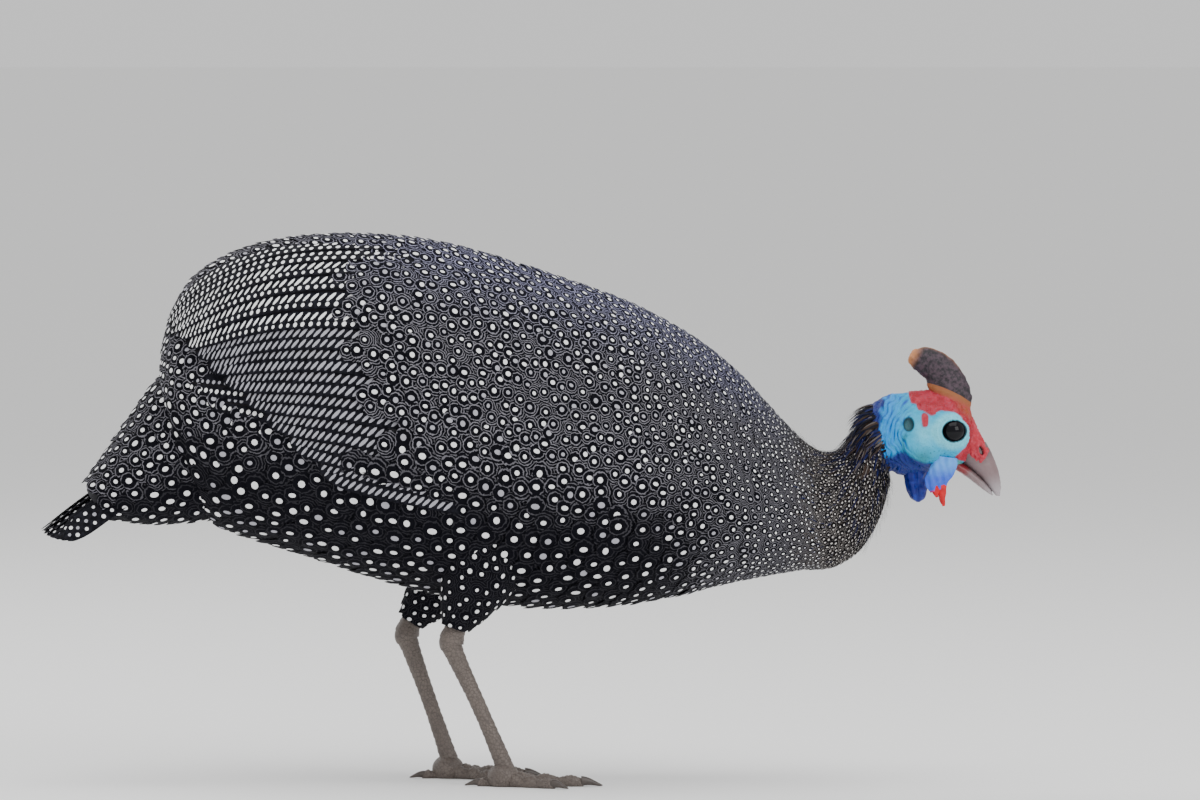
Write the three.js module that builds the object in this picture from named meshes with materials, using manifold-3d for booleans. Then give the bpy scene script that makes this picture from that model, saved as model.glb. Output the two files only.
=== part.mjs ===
// A helmeted guinea fowl, life size, walking with its head low. Millimetres, +Z up, the bird faces +X.
// The floor is Z = 0, and the origin lies on it under the middle of the bird.
import * as THREE from "three";
import { mergeVertices } from "three/addons/utils/BufferGeometryUtils.js";
import Module from "manifold-3d";

const wasm = await Module();
wasm.setup();

const GAP = 0.35; // between neighbouring solids
const VANE = 0.62; // thickness of a flight feather's vane
const ROOM_PAST = 0.06; // how far the room for a piece goes on past its ends, in chords
const DEGREE = Math.PI / 180;

// The body and neck as chords across the side view: the top and bottom ends as [X, Z], and the half width.
const BODY = [
  { top: [-206.8, 230.8], bottom: [-206.8, 230.8], half: 0 }, // rump
  { top: [-201.5, 268.5], bottom: [-198.1, 182.7], half: 36 },
  { top: [-182.4, 294.1], bottom: [-176.6, 152.5], half: 52 },
  { top: [-150.5, 309.1], bottom: [-149.3, 142.1], half: 62.5 },
  { top: [-109.9, 314.5], bottom: [-116.9, 131.7], half: 69.5 },
  { top: [-63.5, 312.8], bottom: [-76.3, 118.9], half: 74 }, // highest part of the back
  { top: [-17.1, 304.5], bottom: [-34.5, 108.5], half: 74.5 },
  { top: [23.5, 292.3], bottom: [9.0, 103.8], half: 73 },
  { top: [64.1, 277.5], bottom: [49.6, 104.4], half: 70 },
  { top: [98.9, 259.0], bottom: [86.1, 109.0], half: 65 }, // breast
  { top: [125.0, 239.0], bottom: [116.3, 116.0], half: 58.5 },
  { top: [145.3, 217.5], bottom: [140.6, 120.6], half: 49 },
  { top: [160.9, 201.1], bottom: [162.7, 124.1], half: 41 },
  { top: [171.4, 192.6], bottom: [181.2, 126.0], half: 34 }, // root of the neck
  { top: [179.5, 190.2], bottom: [196.3, 136.0], half: 28 },
  { top: [188.2, 193.6], bottom: [206.5, 152.0], half: 23.5 },
  { top: [195.8, 204.2], bottom: [212.2, 169.3], half: 20.5 },
  { top: [202.1, 217.1], bottom: [214.6, 180.4], half: 19 }, // nape
];
const NECK_ROOT = 12.45; // where the neck leaves the torso, counted in chords
const NECK_GAP = 0.04; // the cut there, in chords
const BODY_END = BODY.length - 1;
const BROAD_LOW = 0.07; // how much wider the body is below its middle than above

// The skull with its skin, in the same way, from the nape to the root of the bill.
const HEAD = [
  { top: [205.4, 219.9], bottom: [214.4, 181.4], half: 18.5 },
  { top: [212.6, 224.6], bottom: [220.6, 179.0], half: 18 },
  { top: [222.4, 226.2], bottom: [228.8, 178.6], half: 16.8 },
  { top: [233.4, 227.2], bottom: [238.0, 180.6], half: 15.6 },
  { top: [243.9, 227.0], bottom: [245.6, 181.8], half: 14.6 },
  { top: [252.6, 224.6], bottom: [251.4, 182.2], half: 13.2 }, // over the eye
  { top: [259.0, 218.6], bottom: [255.4, 184.0], half: 11 },
  { top: [263.2, 209.4], bottom: [258.4, 186.6], half: 8.6 },
];
const CERE = [
  { top: [262.9, 212.4], bottom: [257.0, 188.6], half: 8.4 },
  { top: [266.6, 204.6], bottom: [260.0, 187.4], half: 7.9 },
  { top: [269.8, 197.8], bottom: [262.6, 185.6], half: 7.2 },
  { top: [272.6, 192.6], bottom: [266.0, 183.4], half: 6.1 },
];
const UPPER_BILL = [
  { top: [272.9, 192.2], bottom: [255.6, 186.3], half: 5.9 },
  { top: [275.6, 186.0], bottom: [262.2, 181.6], half: 5.2 },
  { top: [277.8, 179.2], bottom: [268.0, 176.4], half: 4.1 },
  { top: [278.8, 172.0], bottom: [273.0, 170.6], half: 2.6 },
  { top: [278.2, 166.4], bottom: [276.4, 166.6], half: 0.9 },
];
const LOWER_BILL = [
  { top: [254.4, 185.4], bottom: [253.6, 181.2], half: 5.2 },
  { top: [261.4, 180.8], bottom: [259.6, 177.2], half: 4.4 },
  { top: [267.3, 175.7], bottom: [265.8, 172.4], half: 3.3 },
  { top: [272.2, 170.2], bottom: [271.6, 168.2], half: 1.9 },
  { top: [274.6, 167.2], bottom: [274.4, 166.6], half: 0.8 },
];
const CASQUE = [
  { top: [261.8, 217.6], bottom: [238.0, 226.6], half: 7.2 },
  { top: [262.2, 224.6], bottom: [236.6, 229.4], half: 6.6 },
  { top: [260.0, 232.4], bottom: [236.4, 232.2], half: 6.0 },
  { top: [255.0, 241.0], bottom: [235.4, 234.2], half: 5.6 },
  { top: [247.4, 248.6], bottom: [232.6, 236.8], half: 5.3 },
  { top: [237.4, 252.6], bottom: [229.6, 239.4], half: 4.9 },
  { top: [229.4, 251.6], bottom: [226.6, 242.4], half: 3.8 },
];

// Flaps of bare skin, from the root down: top is the front edge here, bottom the rear edge.
const WATTLE = [
  { top: [253.4, 188.6], bottom: [240.4, 190.4], half: 2.2 },
  { top: [253.4, 184.0], bottom: [237.6, 183.2], half: 2.0 },
  { top: [250.8, 178.4], bottom: [235.0, 177.4], half: 1.7 },
  { top: [248.0, 174.2], bottom: [235.4, 172.4], half: 1.5 },
  { top: [246.0, 171.2], bottom: [238.0, 168.8], half: 1.0 },
];
const WATTLE_TIPS = [
  [
    { top: [243.6, 173.6], bottom: [237.8, 171.8], half: 1.2 },
    { top: [243.2, 169.8], bottom: [239.4, 168.6], half: 1.1 },
    { top: [242.6, 166.4], bottom: [241.2, 166.0], half: 0.6 },
  ],
  [
    { top: [247.4, 174.0], bottom: [242.2, 172.8], half: 1.2 },
    { top: [247.0, 168.4], bottom: [243.0, 167.4], half: 1.1 },
    { top: [246.4, 161.2], bottom: [245.0, 161.0], half: 0.6 },
  ],
];
const THROAT = [
  { top: [237.0, 186.4], bottom: [219.2, 194.0], half: 8.4 },
  { top: [236.8, 180.6], bottom: [221.2, 186.2], half: 7.8 },
  { top: [236.0, 175.4], bottom: [222.8, 178.6], half: 6.4 },
  { top: [236.4, 169.8], bottom: [224.2, 171.0], half: 5.2 },
  { top: [235.2, 165.4], bottom: [226.8, 165.4], half: 3.6 },
  { top: [232.6, 162.9], bottom: [230.2, 162.9], half: 1.6 },
];

const EYE = { x: 251.0, z: 204.4, y: 9.6, radius: 7.6, lid: 8.2 };
const EAR = { x: 225.2, z: 208.4, y: 16.3, wide: 2.9, tall: 3.7 };
const NOSTRIL = { x: 267.6, z: 193.0, long: 5.6, wide: 2.1 };
const CERE_BULGE = { x: 266.4, z: 192.6, y: 5.2, size: [4.2, 2.8, 4.6] }; // the fold round a nostril

// The folded wing. Each tier runs from the back down to the side: roots and tips as [chord, degrees from
// the top], the half width of a vane, and its height over the body at the root and at rest.
const WING = {
  under: 0.6,
  core: 4.2,
  tiers: [
    // primaries, of which the tips and lower edge show
    {
      count: 2, root: [[5.0, 100], [5.2, 112]], tip: [[1.5, 82], [2.2, 95]],
      half: [7, 7], rise: [0.9, 0.9], tilt: 1.0, steps: 4,
    },
    // tertials and secondaries
    {
      count: 9, root: [[5.0, 15], [5.9, 112]], tip: [[1.15, 24], [4.1, 111]],
      half: [13, 11.5], rise: [1.4, 2.9], tilt: 1.7, steps: 4, fall: 1.9,
    },
    // greater coverts
    {
      count: 5, root: [[5.9, 30], [7.2, 111]], tip: [[4.3, 28], [5.0, 107]],
      half: [16, 15], rise: [2.8, 6.0], tilt: 1.6, steps: 3,
    },
    // median coverts
    {
      count: 4, root: [[6.9, 46], [8.0, 108]], tip: [[5.5, 43], [6.3, 104]],
      half: [17, 16], rise: [3.0, 6.3], tilt: 1.6, steps: 3,
    },
    // lesser coverts at the shoulder
    {
      count: 3, root: [[8.0, 60], [8.6, 102]], tip: [[6.7, 54], [7.4, 102]],
      half: [16, 15], rise: [2.2, 6.0], tilt: 1.5, steps: 3,
    },
  ],
};
const TAIL = {
  root: [-188, 0, 212],
  droop: 35 * DEGREE, // below level, pointing back
  // The core under the feathers: distance along the tail, its top and bottom, and its half width.
  core: [
    [-20, 34, -44, 34],
    [6, 29, -44, 35],
    [26, 22, -41, 34],
    [44, 15.5, -35, 31],
    [60, 9.5, -27, 26],
    [72, 5, -18, 20],
  ],
  // Rows of feathers: root and tip as [distance along the tail, rise, spread], the half width, the step
  // down from one to the next, the way they lap, and how far the outer tips stay back.
  rows: [
    // tail feathers
    { count: 12, root: [30, -3, 20], tip: [111, -0.6, 31], half: 9, step: 2.1, lap: 1, back: 9, steps: 4 },
    // coverts over them
    { count: 5, root: [10, 17, 18], tip: [83, 4.4, 26], half: 12, step: 1.15, lap: 1, back: 6, steps: 3 },
    { count: 5, root: [-2, 24, 18], tip: [57, 13.6, 25], half: 11.5, step: 1.15, lap: 1, back: 6, steps: 3 },
    // coverts under them
    { count: 5, root: [12, -34, 18], tip: [91, -15, 22], half: 11.5, step: 1.15, lap: -1, back: 6, steps: 3 },
    { count: 5, root: [4, -40, 18], tip: [66, -32, 25], half: 11.5, step: 1.15, lap: -1, back: 6, steps: 3 },
  ],
};

const LEG = {
  hipHeight: 128,
  hockHeight: 84,
  ankleHeight: 13,
  ankle: 5.2, // radius there
  pad: [9.5, 8.6, 8.4], // half sizes of the pad under the ankle
  padHeight: 5.6,
  right: { y: -34, hip: -24, hock: -39, foot: -9 },
  left: { y: 34, hip: -42, hock: -66, foot: -42 },
};
// Toes: angle from straight ahead, length to the claw, and the claw's length.
const TOES = {
  middle: { turn: 0, length: 46, claw: 11, radius: 4.4 },
  inner: { turn: 34, length: 33, claw: 9.5, radius: 4.0 },
  outer: { turn: -33, length: 35, claw: 9.5, radius: 4.0 },
  hind: { turn: 172, length: 15, claw: 7.5, radius: 3.2 },
};

const COLOURS = {
  plumage: [0x1b1b22, 0.75],
  quills: [0x24242c, 0.6],
  neck: [0x4c4744, 0.85],
  blueSkin: [0x6fc3dc, 0.55],
  deepBlue: [0x27409c, 0.5],
  redSkin: [0xb72a3a, 0.5],
  casque: [0x5a4a48, 0.65],
  bill: [0x8f8784, 0.4],
  eye: [0x0b0806, 0.08],
  leg: [0x4a4442, 0.6],
  claw: [0x2c2624, 0.4],
};

const bird = new THREE.Group();

function mix(a, b, t) {
  return a + (b - a) * t;
}

function smooth(t) {
  return t * t * (3 - 2 * t);
}

// A seeded draw between 0 and 1.
function draws(seed) {
  let state = seed;
  return () => {
    state = (state * 1664525 + 1013904223) % 4294967296;
    return state / 4294967296;
  };
}

// One value of a row of chords at a place between them, on a smooth curve.
function along(row, place, read) {
  const last = row.length - 1;
  const first = Math.min(Math.max(Math.floor(place), 0), last - 1);
  const t = place - first;
  const value = (index) => {
    if (index < 0) return row[0].half === 0 ? read(row[1], true) : 2 * read(row[0]) - read(row[1]);
    if (index > last) return 2 * read(row[last]) - read(row[last - 1]);
    return read(row[index]);
  };
  const [a, b, c, d] = [first - 1, first, first + 1, first + 2].map(value);
  const m1 = (c - a) / 2;
  const m2 = (d - b) / 2;
  return (
    b * (2 * t ** 3 - 3 * t ** 2 + 1) +
    m1 * (t ** 3 - 2 * t ** 2 + t) +
    c * (3 * t ** 2 - 2 * t ** 3) +
    m2 * (t ** 3 - t ** 2)
  );
}

// The chord at a place in a row. Past a closed end the row goes on mirrored, so the end is round.
function chordAt(row, place) {
  const read = (end, axis) => (chord, mirrored) =>
    chord[mirrored ? (end === "top" ? "bottom" : "top") : end][axis];
  return {
    topX: along(row, place, read("top", 0)),
    topZ: along(row, place, read("top", 1)),
    bottomX: along(row, place, read("bottom", 0)),
    bottomZ: along(row, place, read("bottom", 1)),
    half: along(row, place, (chord, mirrored) => (mirrored ? -chord.half : chord.half)),
  };
}

// A point of a chord's oval: angle 0 is the top, 90 degrees the left side.
function ovalPoint(row, place, angle, low = 0) {
  const c = chordAt(row, place);
  const up = Math.cos(angle);
  const out = Math.sin(angle) * (1 - low * up);
  return new THREE.Vector3(
    mix(c.bottomX, c.topX, 0.5 + up / 2),
    c.half * out,
    mix(c.bottomZ, c.topZ, 0.5 + up / 2),
  );
}

// A point at a height over the body's surface.
function bodyPoint(place, angle, height = 0) {
  const step = 0.02;
  const p = ovalPoint(BODY, place, angle, BROAD_LOW);
  if (height === 0) return p;
  const alongBody = ovalPoint(BODY, place + step, angle, BROAD_LOW).sub(
    ovalPoint(BODY, Math.max(place - step, 0.01), angle, BROAD_LOW),
  );
  const round = ovalPoint(BODY, place, angle + step, BROAD_LOW).sub(
    ovalPoint(BODY, place, angle - step, BROAD_LOW),
  );
  const normal = alongBody.cross(round).normalize();
  return p.addScaledVector(normal, height);
}

// A closed surface through rings of equally many points, with a fan at each end.
function loft(rings) {
  const count = rings[0].length;
  const points = [];
  const faces = [];
  for (const ring of rings) for (const p of ring) points.push(p.x, p.y, p.z);
  for (let r = 0; r + 1 < rings.length; r++) {
    for (let i = 0; i < count; i++) {
      const j = (i + 1) % count;
      const [a, b, c, d] = [r * count + i, r * count + j, (r + 1) * count + i, (r + 1) * count + j];
      faces.push(a, b, d, a, d, c);
    }
  }
  for (const [r, turned] of [[0, true], [rings.length - 1, false]]) {
    const middle = points.length / 3;
    const centre = new THREE.Vector3();
    for (const p of rings[r]) centre.addScaledVector(p, 1 / count);
    points.push(centre.x, centre.y, centre.z);
    for (let i = 0; i < count; i++) {
      const j = (i + 1) % count;
      const [a, b] = [r * count + i, r * count + j];
      faces.push(middle, turned ? b : a, turned ? a : b);
    }
  }
  const geometry = new THREE.BufferGeometry();
  geometry.setAttribute("position", new THREE.Float32BufferAttribute(points, 3));
  geometry.setIndex(faces);
  return geometry;
}

function solid(geometry) {
  const bare = geometry.clone();
  bare.deleteAttribute("normal");
  bare.deleteAttribute("uv");
  const merged = mergeVertices(bare, 1e-4);
  const index = Array.from(merged.index.array);
  const triangles = [];
  for (let i = 0; i < index.length; i += 3) {
    const [a, b, c] = index.slice(i, i + 3);
    if (a !== b && b !== c && c !== a) triangles.push(a, b, c);
  }
  const build = (list) =>
    new wasm.Manifold(
      new wasm.Mesh({
        numProp: 3,
        vertProperties: merged.attributes.position.array,
        triVerts: new Uint32Array(list),
      }),
    );
  const made = build(triangles);
  if (made.volume() > 0) return made;
  const turned = [];
  for (let i = 0; i < triangles.length; i += 3) {
    turned.push(triangles[i], triangles[i + 2], triangles[i + 1]);
  }
  return build(turned);
}

function union(pieces) {
  return pieces.reduce((whole, piece) => whole.add(piece));
}

// The largest closed body of a solid: loose scraps and sealed hollows go.
function largest(made) {
  return made.decompose().reduce((best, part) => (part.volume() > best.volume() ? part : best));
}

function addNode(parent, name, made, [colour, roughness]) {
  const mesh = largest(made).getMesh();
  const positions = [];
  for (let i = 0; i < mesh.numVert; i++) {
    positions.push(...mesh.vertProperties.subarray(i * mesh.numProp, i * mesh.numProp + 3));
  }
  const geometry = new THREE.BufferGeometry();
  geometry.setAttribute("position", new THREE.Float32BufferAttribute(positions, 3));
  geometry.setIndex(new THREE.BufferAttribute(new Uint32Array(mesh.triVerts), 1));
  const material = new THREE.MeshStandardMaterial({ color: colour, roughness, metalness: 0 });
  const node = new THREE.Mesh(geometry, material);
  node.name = name;
  parent.add(node);
  return node;
}

// A loft through the chords of a row from one place to another.
function chordLoft(row, from, to, steps, segments, { low = 0, grow = 0 } = {}) {
  const rings = [];
  for (let r = 0; r <= steps; r++) {
    const place = mix(from, to, r / steps);
    const ring = [];
    for (let i = 0; i < segments; i++) {
      const angle = (i / segments) * 2 * Math.PI;
      const p = ovalPoint(row, place, angle, low);
      if (grow) {
        const c = chordAt(row, place);
        const centre = new THREE.Vector3((c.topX + c.bottomX) / 2, 0, (c.topZ + c.bottomZ) / 2);
        p.add(p.clone().sub(centre).setLength(grow));
      }
      ring.push(p);
    }
    rings.push(ring);
  }
  return solid(loft(rings));
}

// A loft through all of a row, or one grown all round to leave room for it.
function wholeRow(row, steps, segments, grow = 0) {
  const past = grow ? ROOM_PAST : 0;
  return chordLoft(row, -past, row.length - 1 + past, steps, segments, { grow });
}

function ellipsoid(x, y, z, rx, ry, rz, segments = 16, rings = 10) {
  const ball = new THREE.SphereGeometry(1, segments, rings);
  ball.scale(rx, ry, rz);
  ball.translate(x, y, z);
  return solid(ball);
}

// A flat tapered strip: a vane or a lock. frame(t) gives its middle, its side and its outward normal.
function strip(frame, halfWidth, thickness, steps) {
  const rings = [];
  for (let r = 0; r <= steps; r++) {
    const t = r / steps;
    const { middle, side, normal } = frame(t);
    const w = halfWidth(t);
    const h = thickness * (t > 0.999 ? 0.45 : 1);
    const at = (across, up) =>
      middle.clone().addScaledVector(side, across * w).addScaledVector(normal, up * h);
    rings.push([at(-1, 0), at(1, 0), at(1, 1), at(-1, 1)]);
  }
  return solid(loft(rings));
}

// A vane that lies on the body from one [place, angle, height] to another. Its lower edge lies the
// higher one, so a row of them overlaps downwards without touching.
function bodyVane(side, start, end, width, { steps = 6, tilt = 1.5, bow = 0, settle = 0.45 } = {}) {
  const read = (t, across) => {
    const place = mix(start[0], end[0], t);
    const angle = mix(start[1], end[1], t) + bow * Math.sin(Math.PI * t);
    const height = mix(start[2], end[2], Math.min(1, t / settle)) + (tilt * (across + 1)) / 2;
    const round = bodyPoint(place, angle + 0.02).distanceTo(bodyPoint(place, angle)) / 0.02;
    return [place, angle + (across * width) / Math.max(round, 12), height];
  };
  const shape = (t) =>
    t < 0.5 ? mix(0.7, 1, t / 0.5) : Math.sqrt(Math.max(1 - ((t - 0.5) / 0.5) ** 3 * 0.94, 0));
  const rings = [];
  for (let r = 0; r <= steps; r++) {
    const t = r / steps;
    const s = shape(t);
    const thick = VANE * (r === steps ? 0.8 : 1);
    const at = (across, up) => {
      const [place, angle, height] = read(t, across);
      return bodyPoint(place, angle, height + up * thick);
    };
    rings.push([at(-s, 0), at(s, 0), at(s, 0.95), at(-s, 0.95)]);
  }
  if (side < 0) for (const ring of rings) for (const p of ring) p.y = -p.y;
  return solid(loft(rings));
}

function makeTorso(grow = 0) {
  const [start, end] = [0.12, NECK_ROOT - NECK_GAP / 2]; // the rump's very end is flat
  return chordLoft(BODY, start, end, 20, 24, { low: BROAD_LOW, grow });
}

// The torso a little larger, to cut what lies against it.
const torsoRoom = makeTorso(GAP);

// Fine locks of hair-like feathers on the back of the neck and the throat.
function makeNeck() {
  const pieces = [chordLoft(BODY, NECK_ROOT + NECK_GAP / 2, BODY_END, 7, 18, { low: BROAD_LOW })];
  const draw = draws(7);
  for (let row = 0; row < 4; row++) {
    for (let i = 0; i < 5; i++) {
      const angle = (-58 + 26 * i + 12 * (row % 2)) * DEGREE + 0.1 * (draw() - 0.5);
      const place = 16.3 - 0.62 * row + 0.2 * draw();
      const length = 13 + 5 * draw() - 1.2 * row;
      const start = bodyPoint(place, angle, -2.5);
      const out = bodyPoint(place, angle, 1).sub(bodyPoint(place, angle, 0)).normalize();
      const back = bodyPoint(place - 0.3, angle).sub(bodyPoint(place, angle)).normalize();
      const side = new THREE.Vector3().crossVectors(out, back).normalize();
      const lift = 0.5 + 0.3 * draw();
      const frame = (t) => {
        const middle = start.clone()
          .addScaledVector(out, length * (lift * t + 0.12 * t * (1 - t)) + 1)
          .addScaledVector(back, length * t * 0.85);
        const normal = out.clone().addScaledVector(back, -lift).normalize();
        return { middle, side, normal };
      };
      pieces.push(strip(frame, (t) => mix(1.7, 0.35, t), 0.7, 2));
    }
  }
  return union(pieces);
}

// How far the loose skin of the head stands out in folds, behind the eye and down to the throat.
function skinFold(place, angle) {
  const low = Math.abs(angle) / Math.PI;
  const round = Math.min(Math.max((low - 0.08) / 0.86, 0), 1);
  const strength = Math.max(0, 1 - place / 3.1) * Math.sin(Math.PI * round);
  return 0.75 * strength * Math.sin(2 * Math.PI * (place / 0.62 + 0.5 * Math.sin(2.4 * angle)));
}

// The head: skin folds behind the ear, lids round the eyes and the ears' rims.
function makeHead() {
  const rings = [];
  const [steps, segments] = [16, 16];
  const last = HEAD.length - 1;
  for (let r = 0; r <= steps; r++) {
    const place = (r / steps) * last;
    const c = chordAt(HEAD, place);
    const centre = new THREE.Vector3((c.topX + c.bottomX) / 2, 0, (c.topZ + c.bottomZ) / 2);
    const ring = [];
    for (let i = 0; i < segments; i++) {
      const angle = ((i < segments / 2 ? i : i - segments) / segments) * 2 * Math.PI;
      const p = ovalPoint(HEAD, place, angle);
      const out = p.clone().sub(centre);
      ring.push(p.addScaledVector(out.normalize(), r === 0 ? 0 : skinFold(place, angle)));
    }
    rings.push(ring);
  }
  const pieces = [solid(loft(rings))];
  for (const side of [-1, 1]) {
    pieces.push(ellipsoid(EYE.x - 0.4, side * 5.2, EYE.z + 0.8, 11.4, 8.6, 11.2, 8, 6)); // round the eye
    pieces.push(ellipsoid(236, side * 8.2, 190, 12, 5.6, 7, 8, 6)); // cheek
    const lid = new THREE.TorusGeometry(EYE.lid, 1.7, 4, 10);
    lid.rotateX(Math.PI / 2);
    lid.translate(EYE.x, side * 12.6, EYE.z);
    pieces.push(solid(lid));
    const rim = new THREE.TorusGeometry(1, 0.34, 3, 9);
    rim.scale(EAR.wide + 0.4, EAR.tall + 0.4, 3.2);
    rim.rotateX(Math.PI / 2);
    rim.rotateZ(side * -0.1);
    rim.translate(EAR.x, side * EAR.y, EAR.z);
    pieces.push(solid(rim));
  }
  let made = union(pieces);
  for (const side of [-1, 1]) {
    const socket = EYE.radius + GAP;
    made = made.subtract(ellipsoid(EYE.x, side * EYE.y, EYE.z, socket, socket, socket, 12, 8));
    made = made.subtract(ellipsoid(EAR.x, side * (EAR.y + 1.2), EAR.z, EAR.wide, 3.4, EAR.tall, 8, 6));
  }
  return made;
}

function addEye(sideName, side) {
  const ball = solid(new THREE.SphereGeometry(EYE.radius, 12, 8));
  addNode(bird, "eye_" + sideName, ball, COLOURS.eye).position.set(EYE.x, side * EYE.y, EYE.z);
}

// The red folds at the root of the bill, without the nostrils.
function makeCereFolds(grow = 0) {
  const { x, y, z, size } = CERE_BULGE;
  const radii = size.map((radius) => radius + grow);
  const bulges = [-1, 1].map((side) => ellipsoid(x, side * y, z, ...radii, 6, 5));
  return union([wholeRow(CERE, 4, 12, grow), ...bulges]);
}

function makeCere() {
  let made = makeCereFolds();
  for (const side of [-1, 1]) {
    const hole = new THREE.SphereGeometry(1, 6, 4);
    hole.scale(NOSTRIL.wide / 2, 2.6, NOSTRIL.long / 2);
    hole.rotateY(-0.35);
    hole.translate(NOSTRIL.x, side * 8.6, NOSTRIL.z);
    made = made.subtract(solid(hole));
  }
  return made;
}

// A flap of skin through a row of chords, shut at its lower end, moved sideways as it hangs.
function flap(row, steps, segments, sideways) {
  const rings = [];
  for (let r = 0; r <= steps; r++) {
    const place = (r / steps) * (row.length - 1);
    const ring = [];
    for (let i = 0; i < segments; i++) {
      const p = ovalPoint(row, place, (i / segments) * 2 * Math.PI);
      ring.push(p.setY(p.y + sideways(p.z)));
    }
    rings.push(ring);
  }
  return solid(loft(rings));
}

// A wattle: a rounded flap that hangs from the corner of the bill, blue with two red tips.
function makeWattle(side) {
  const sideways = (z) => side * mix(13.4, 10.8, smooth(Math.min(Math.max((z - 166) / 24, 0), 1)));
  const pieces = [flap(WATTLE, 8, 10, sideways)];
  for (const tip of WATTLE_TIPS) pieces.push(flap(tip, 3, 6, sideways));
  return union(pieces);
}

// The deep blue fold of skin that hangs under the throat.
function makeThroatFold() {
  return flap(THROAT, 9, 12, () => 0);
}

// A folded wing: a core over the shoulder, then coverts, secondaries and primaries in tiers.
function makeWing(side) {
  const pieces = [];
  const rings = [];
  const [steps, half] = [6, 5]; // rings along the core, and sides of its upper face
  for (let r = 0; r <= steps; r++) {
    const t = r / steps;
    const place = mix(9.0, 4.7, t);
    const middle = mix(84, 68, t) * DEGREE;
    const spread = 49 * DEGREE * Math.sin(Math.PI * mix(0.08, 0.6, t)) ** 0.6;
    const rise = WING.core * Math.min(1, 0.25 + 2.2 * t) * Math.min(1, 0.35 + 2.2 * (1 - t));
    const ring = [];
    for (let i = 0; i <= half; i++) {
      ring.push(bodyPoint(place, middle + spread * Math.cos((Math.PI * i) / half), WING.under));
    }
    for (let i = half - 1; i >= 1; i--) {
      const across = Math.cos((Math.PI * i) / half);
      ring.push(bodyPoint(place, middle + spread * across, WING.under + 0.8 + rise * (1 - across ** 4)));
    }
    if (side < 0) for (const p of ring) p.y = -p.y;
    rings.push(ring);
  }
  pieces.push(solid(loft(rings)));
  for (const tier of WING.tiers) {
    for (let i = 0; i < tier.count; i++) {
      const u = i / (tier.count - 1);
      const fall = u ** (tier.fall ?? 1);
      const between = (pair, share) => mix(pair[0][0], pair[1][0], share);
      const turn = (pair) => mix(pair[0][1], pair[1][1], u) * DEGREE;
      const start = [between(tier.root, u), turn(tier.root), tier.rise[0]];
      const end = [between(tier.tip, fall), turn(tier.tip), tier.rise[1]];
      pieces.push(bodyVane(side, start, end, mix(...tier.half, u), tier));
    }
  }
  return union(pieces).subtract(torsoRoom);
}

// The tail: drooping feathers in a row that laps like a tent, with coverts above and below.
function makeTail() {
  const back = new THREE.Vector3(-Math.cos(TAIL.droop), 0, -Math.sin(TAIL.droop));
  const up = new THREE.Vector3(-Math.sin(TAIL.droop), 0, Math.cos(TAIL.droop));
  const left = new THREE.Vector3(0, 1, 0);
  const at = (distance, across, rise) =>
    new THREE.Vector3(...TAIL.root)
      .addScaledVector(back, distance)
      .addScaledVector(left, across)
      .addScaledVector(up, rise);
  const rings = TAIL.core.map(([distance, top, bottom, half]) => {
    const ring = [];
    for (let i = 0; i < 12; i++) {
      const a = (i / 12) * 2 * Math.PI;
      ring.push(at(distance, half * Math.cos(a), (top + bottom) / 2 + ((top - bottom) / 2) * Math.sin(a)));
    }
    return ring;
  });
  const pieces = [solid(loft(rings))];
  for (const row of TAIL.rows) {
    const middle = (row.count - 1) / 2;
    for (let i = 0; i < row.count; i++) {
      const rank = (i - middle) / middle;
      const under = (Math.abs(i - middle) + (rank < 0 && row.count % 2 === 0 ? 0.5 : 0)) * row.step * row.lap;
      const start = at(row.root[0], rank * row.root[2], row.root[1] - under);
      const end = at(row.tip[0] - row.back * rank * rank, rank * row.tip[2], row.tip[1] - under);
      const forward = end.clone().sub(start).normalize();
      const side = left.clone().addScaledVector(forward, -left.dot(forward)).normalize();
      const normal = side.clone().cross(forward).multiplyScalar(-row.lap);
      if (normal.dot(up) * row.lap < 0) normal.negate();
      const bulge = row.lap * 2.5;
      const frame = (t) => ({
        middle: start.clone().lerp(end, t).addScaledVector(up, bulge * Math.sin(Math.PI * t)),
        side,
        normal,
      });
      const outline = (t) => (t < 0.55 ? mix(0.7, 1, t / 0.55) : Math.sqrt(1 - ((t - 0.55) / 0.45) ** 3 * 0.93));
      pieces.push(strip(frame, (t) => row.half * outline(t), VANE, row.steps));
    }
  }
  return union(pieces).subtract(torsoRoom);
}

// A tapered round limb through [x, z, radius] stations.
function taper(stations, segments, grow = 0) {
  const path = new THREE.CatmullRomCurve3(stations.map(([x, z]) => new THREE.Vector3(x, 0, z)));
  const steps = (stations.length - 1) * 2;
  const rings = [];
  for (let r = 0; r <= steps; r++) {
    const t = r / steps;
    const p = path.getPoint(t);
    const forward = path.getTangent(t);
    const side = new THREE.Vector3(0, 1, 0).cross(forward).normalize();
    const up = forward.clone().cross(side);
    const place = t * (stations.length - 1);
    const first = Math.min(Math.floor(place), stations.length - 2);
    const radius = mix(stations[first][2], stations[first + 1][2], smooth(place - first)) + grow;
    const ring = [];
    for (let i = 0; i < segments; i++) {
      const a = (i / segments) * 2 * Math.PI;
      const across = side.clone().multiplyScalar(Math.cos(a)).addScaledVector(up, Math.sin(a));
      ring.push(p.clone().addScaledVector(across, radius));
    }
    rings.push(ring);
  }
  return solid(loft(rings));
}

// The pad under the ankle, which the toes leave.
function makePad(grow = 0) {
  return ellipsoid(0, 0, LEG.padHeight, ...LEG.pad.map((radius) => radius + grow), 10, 6);
}

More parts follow.
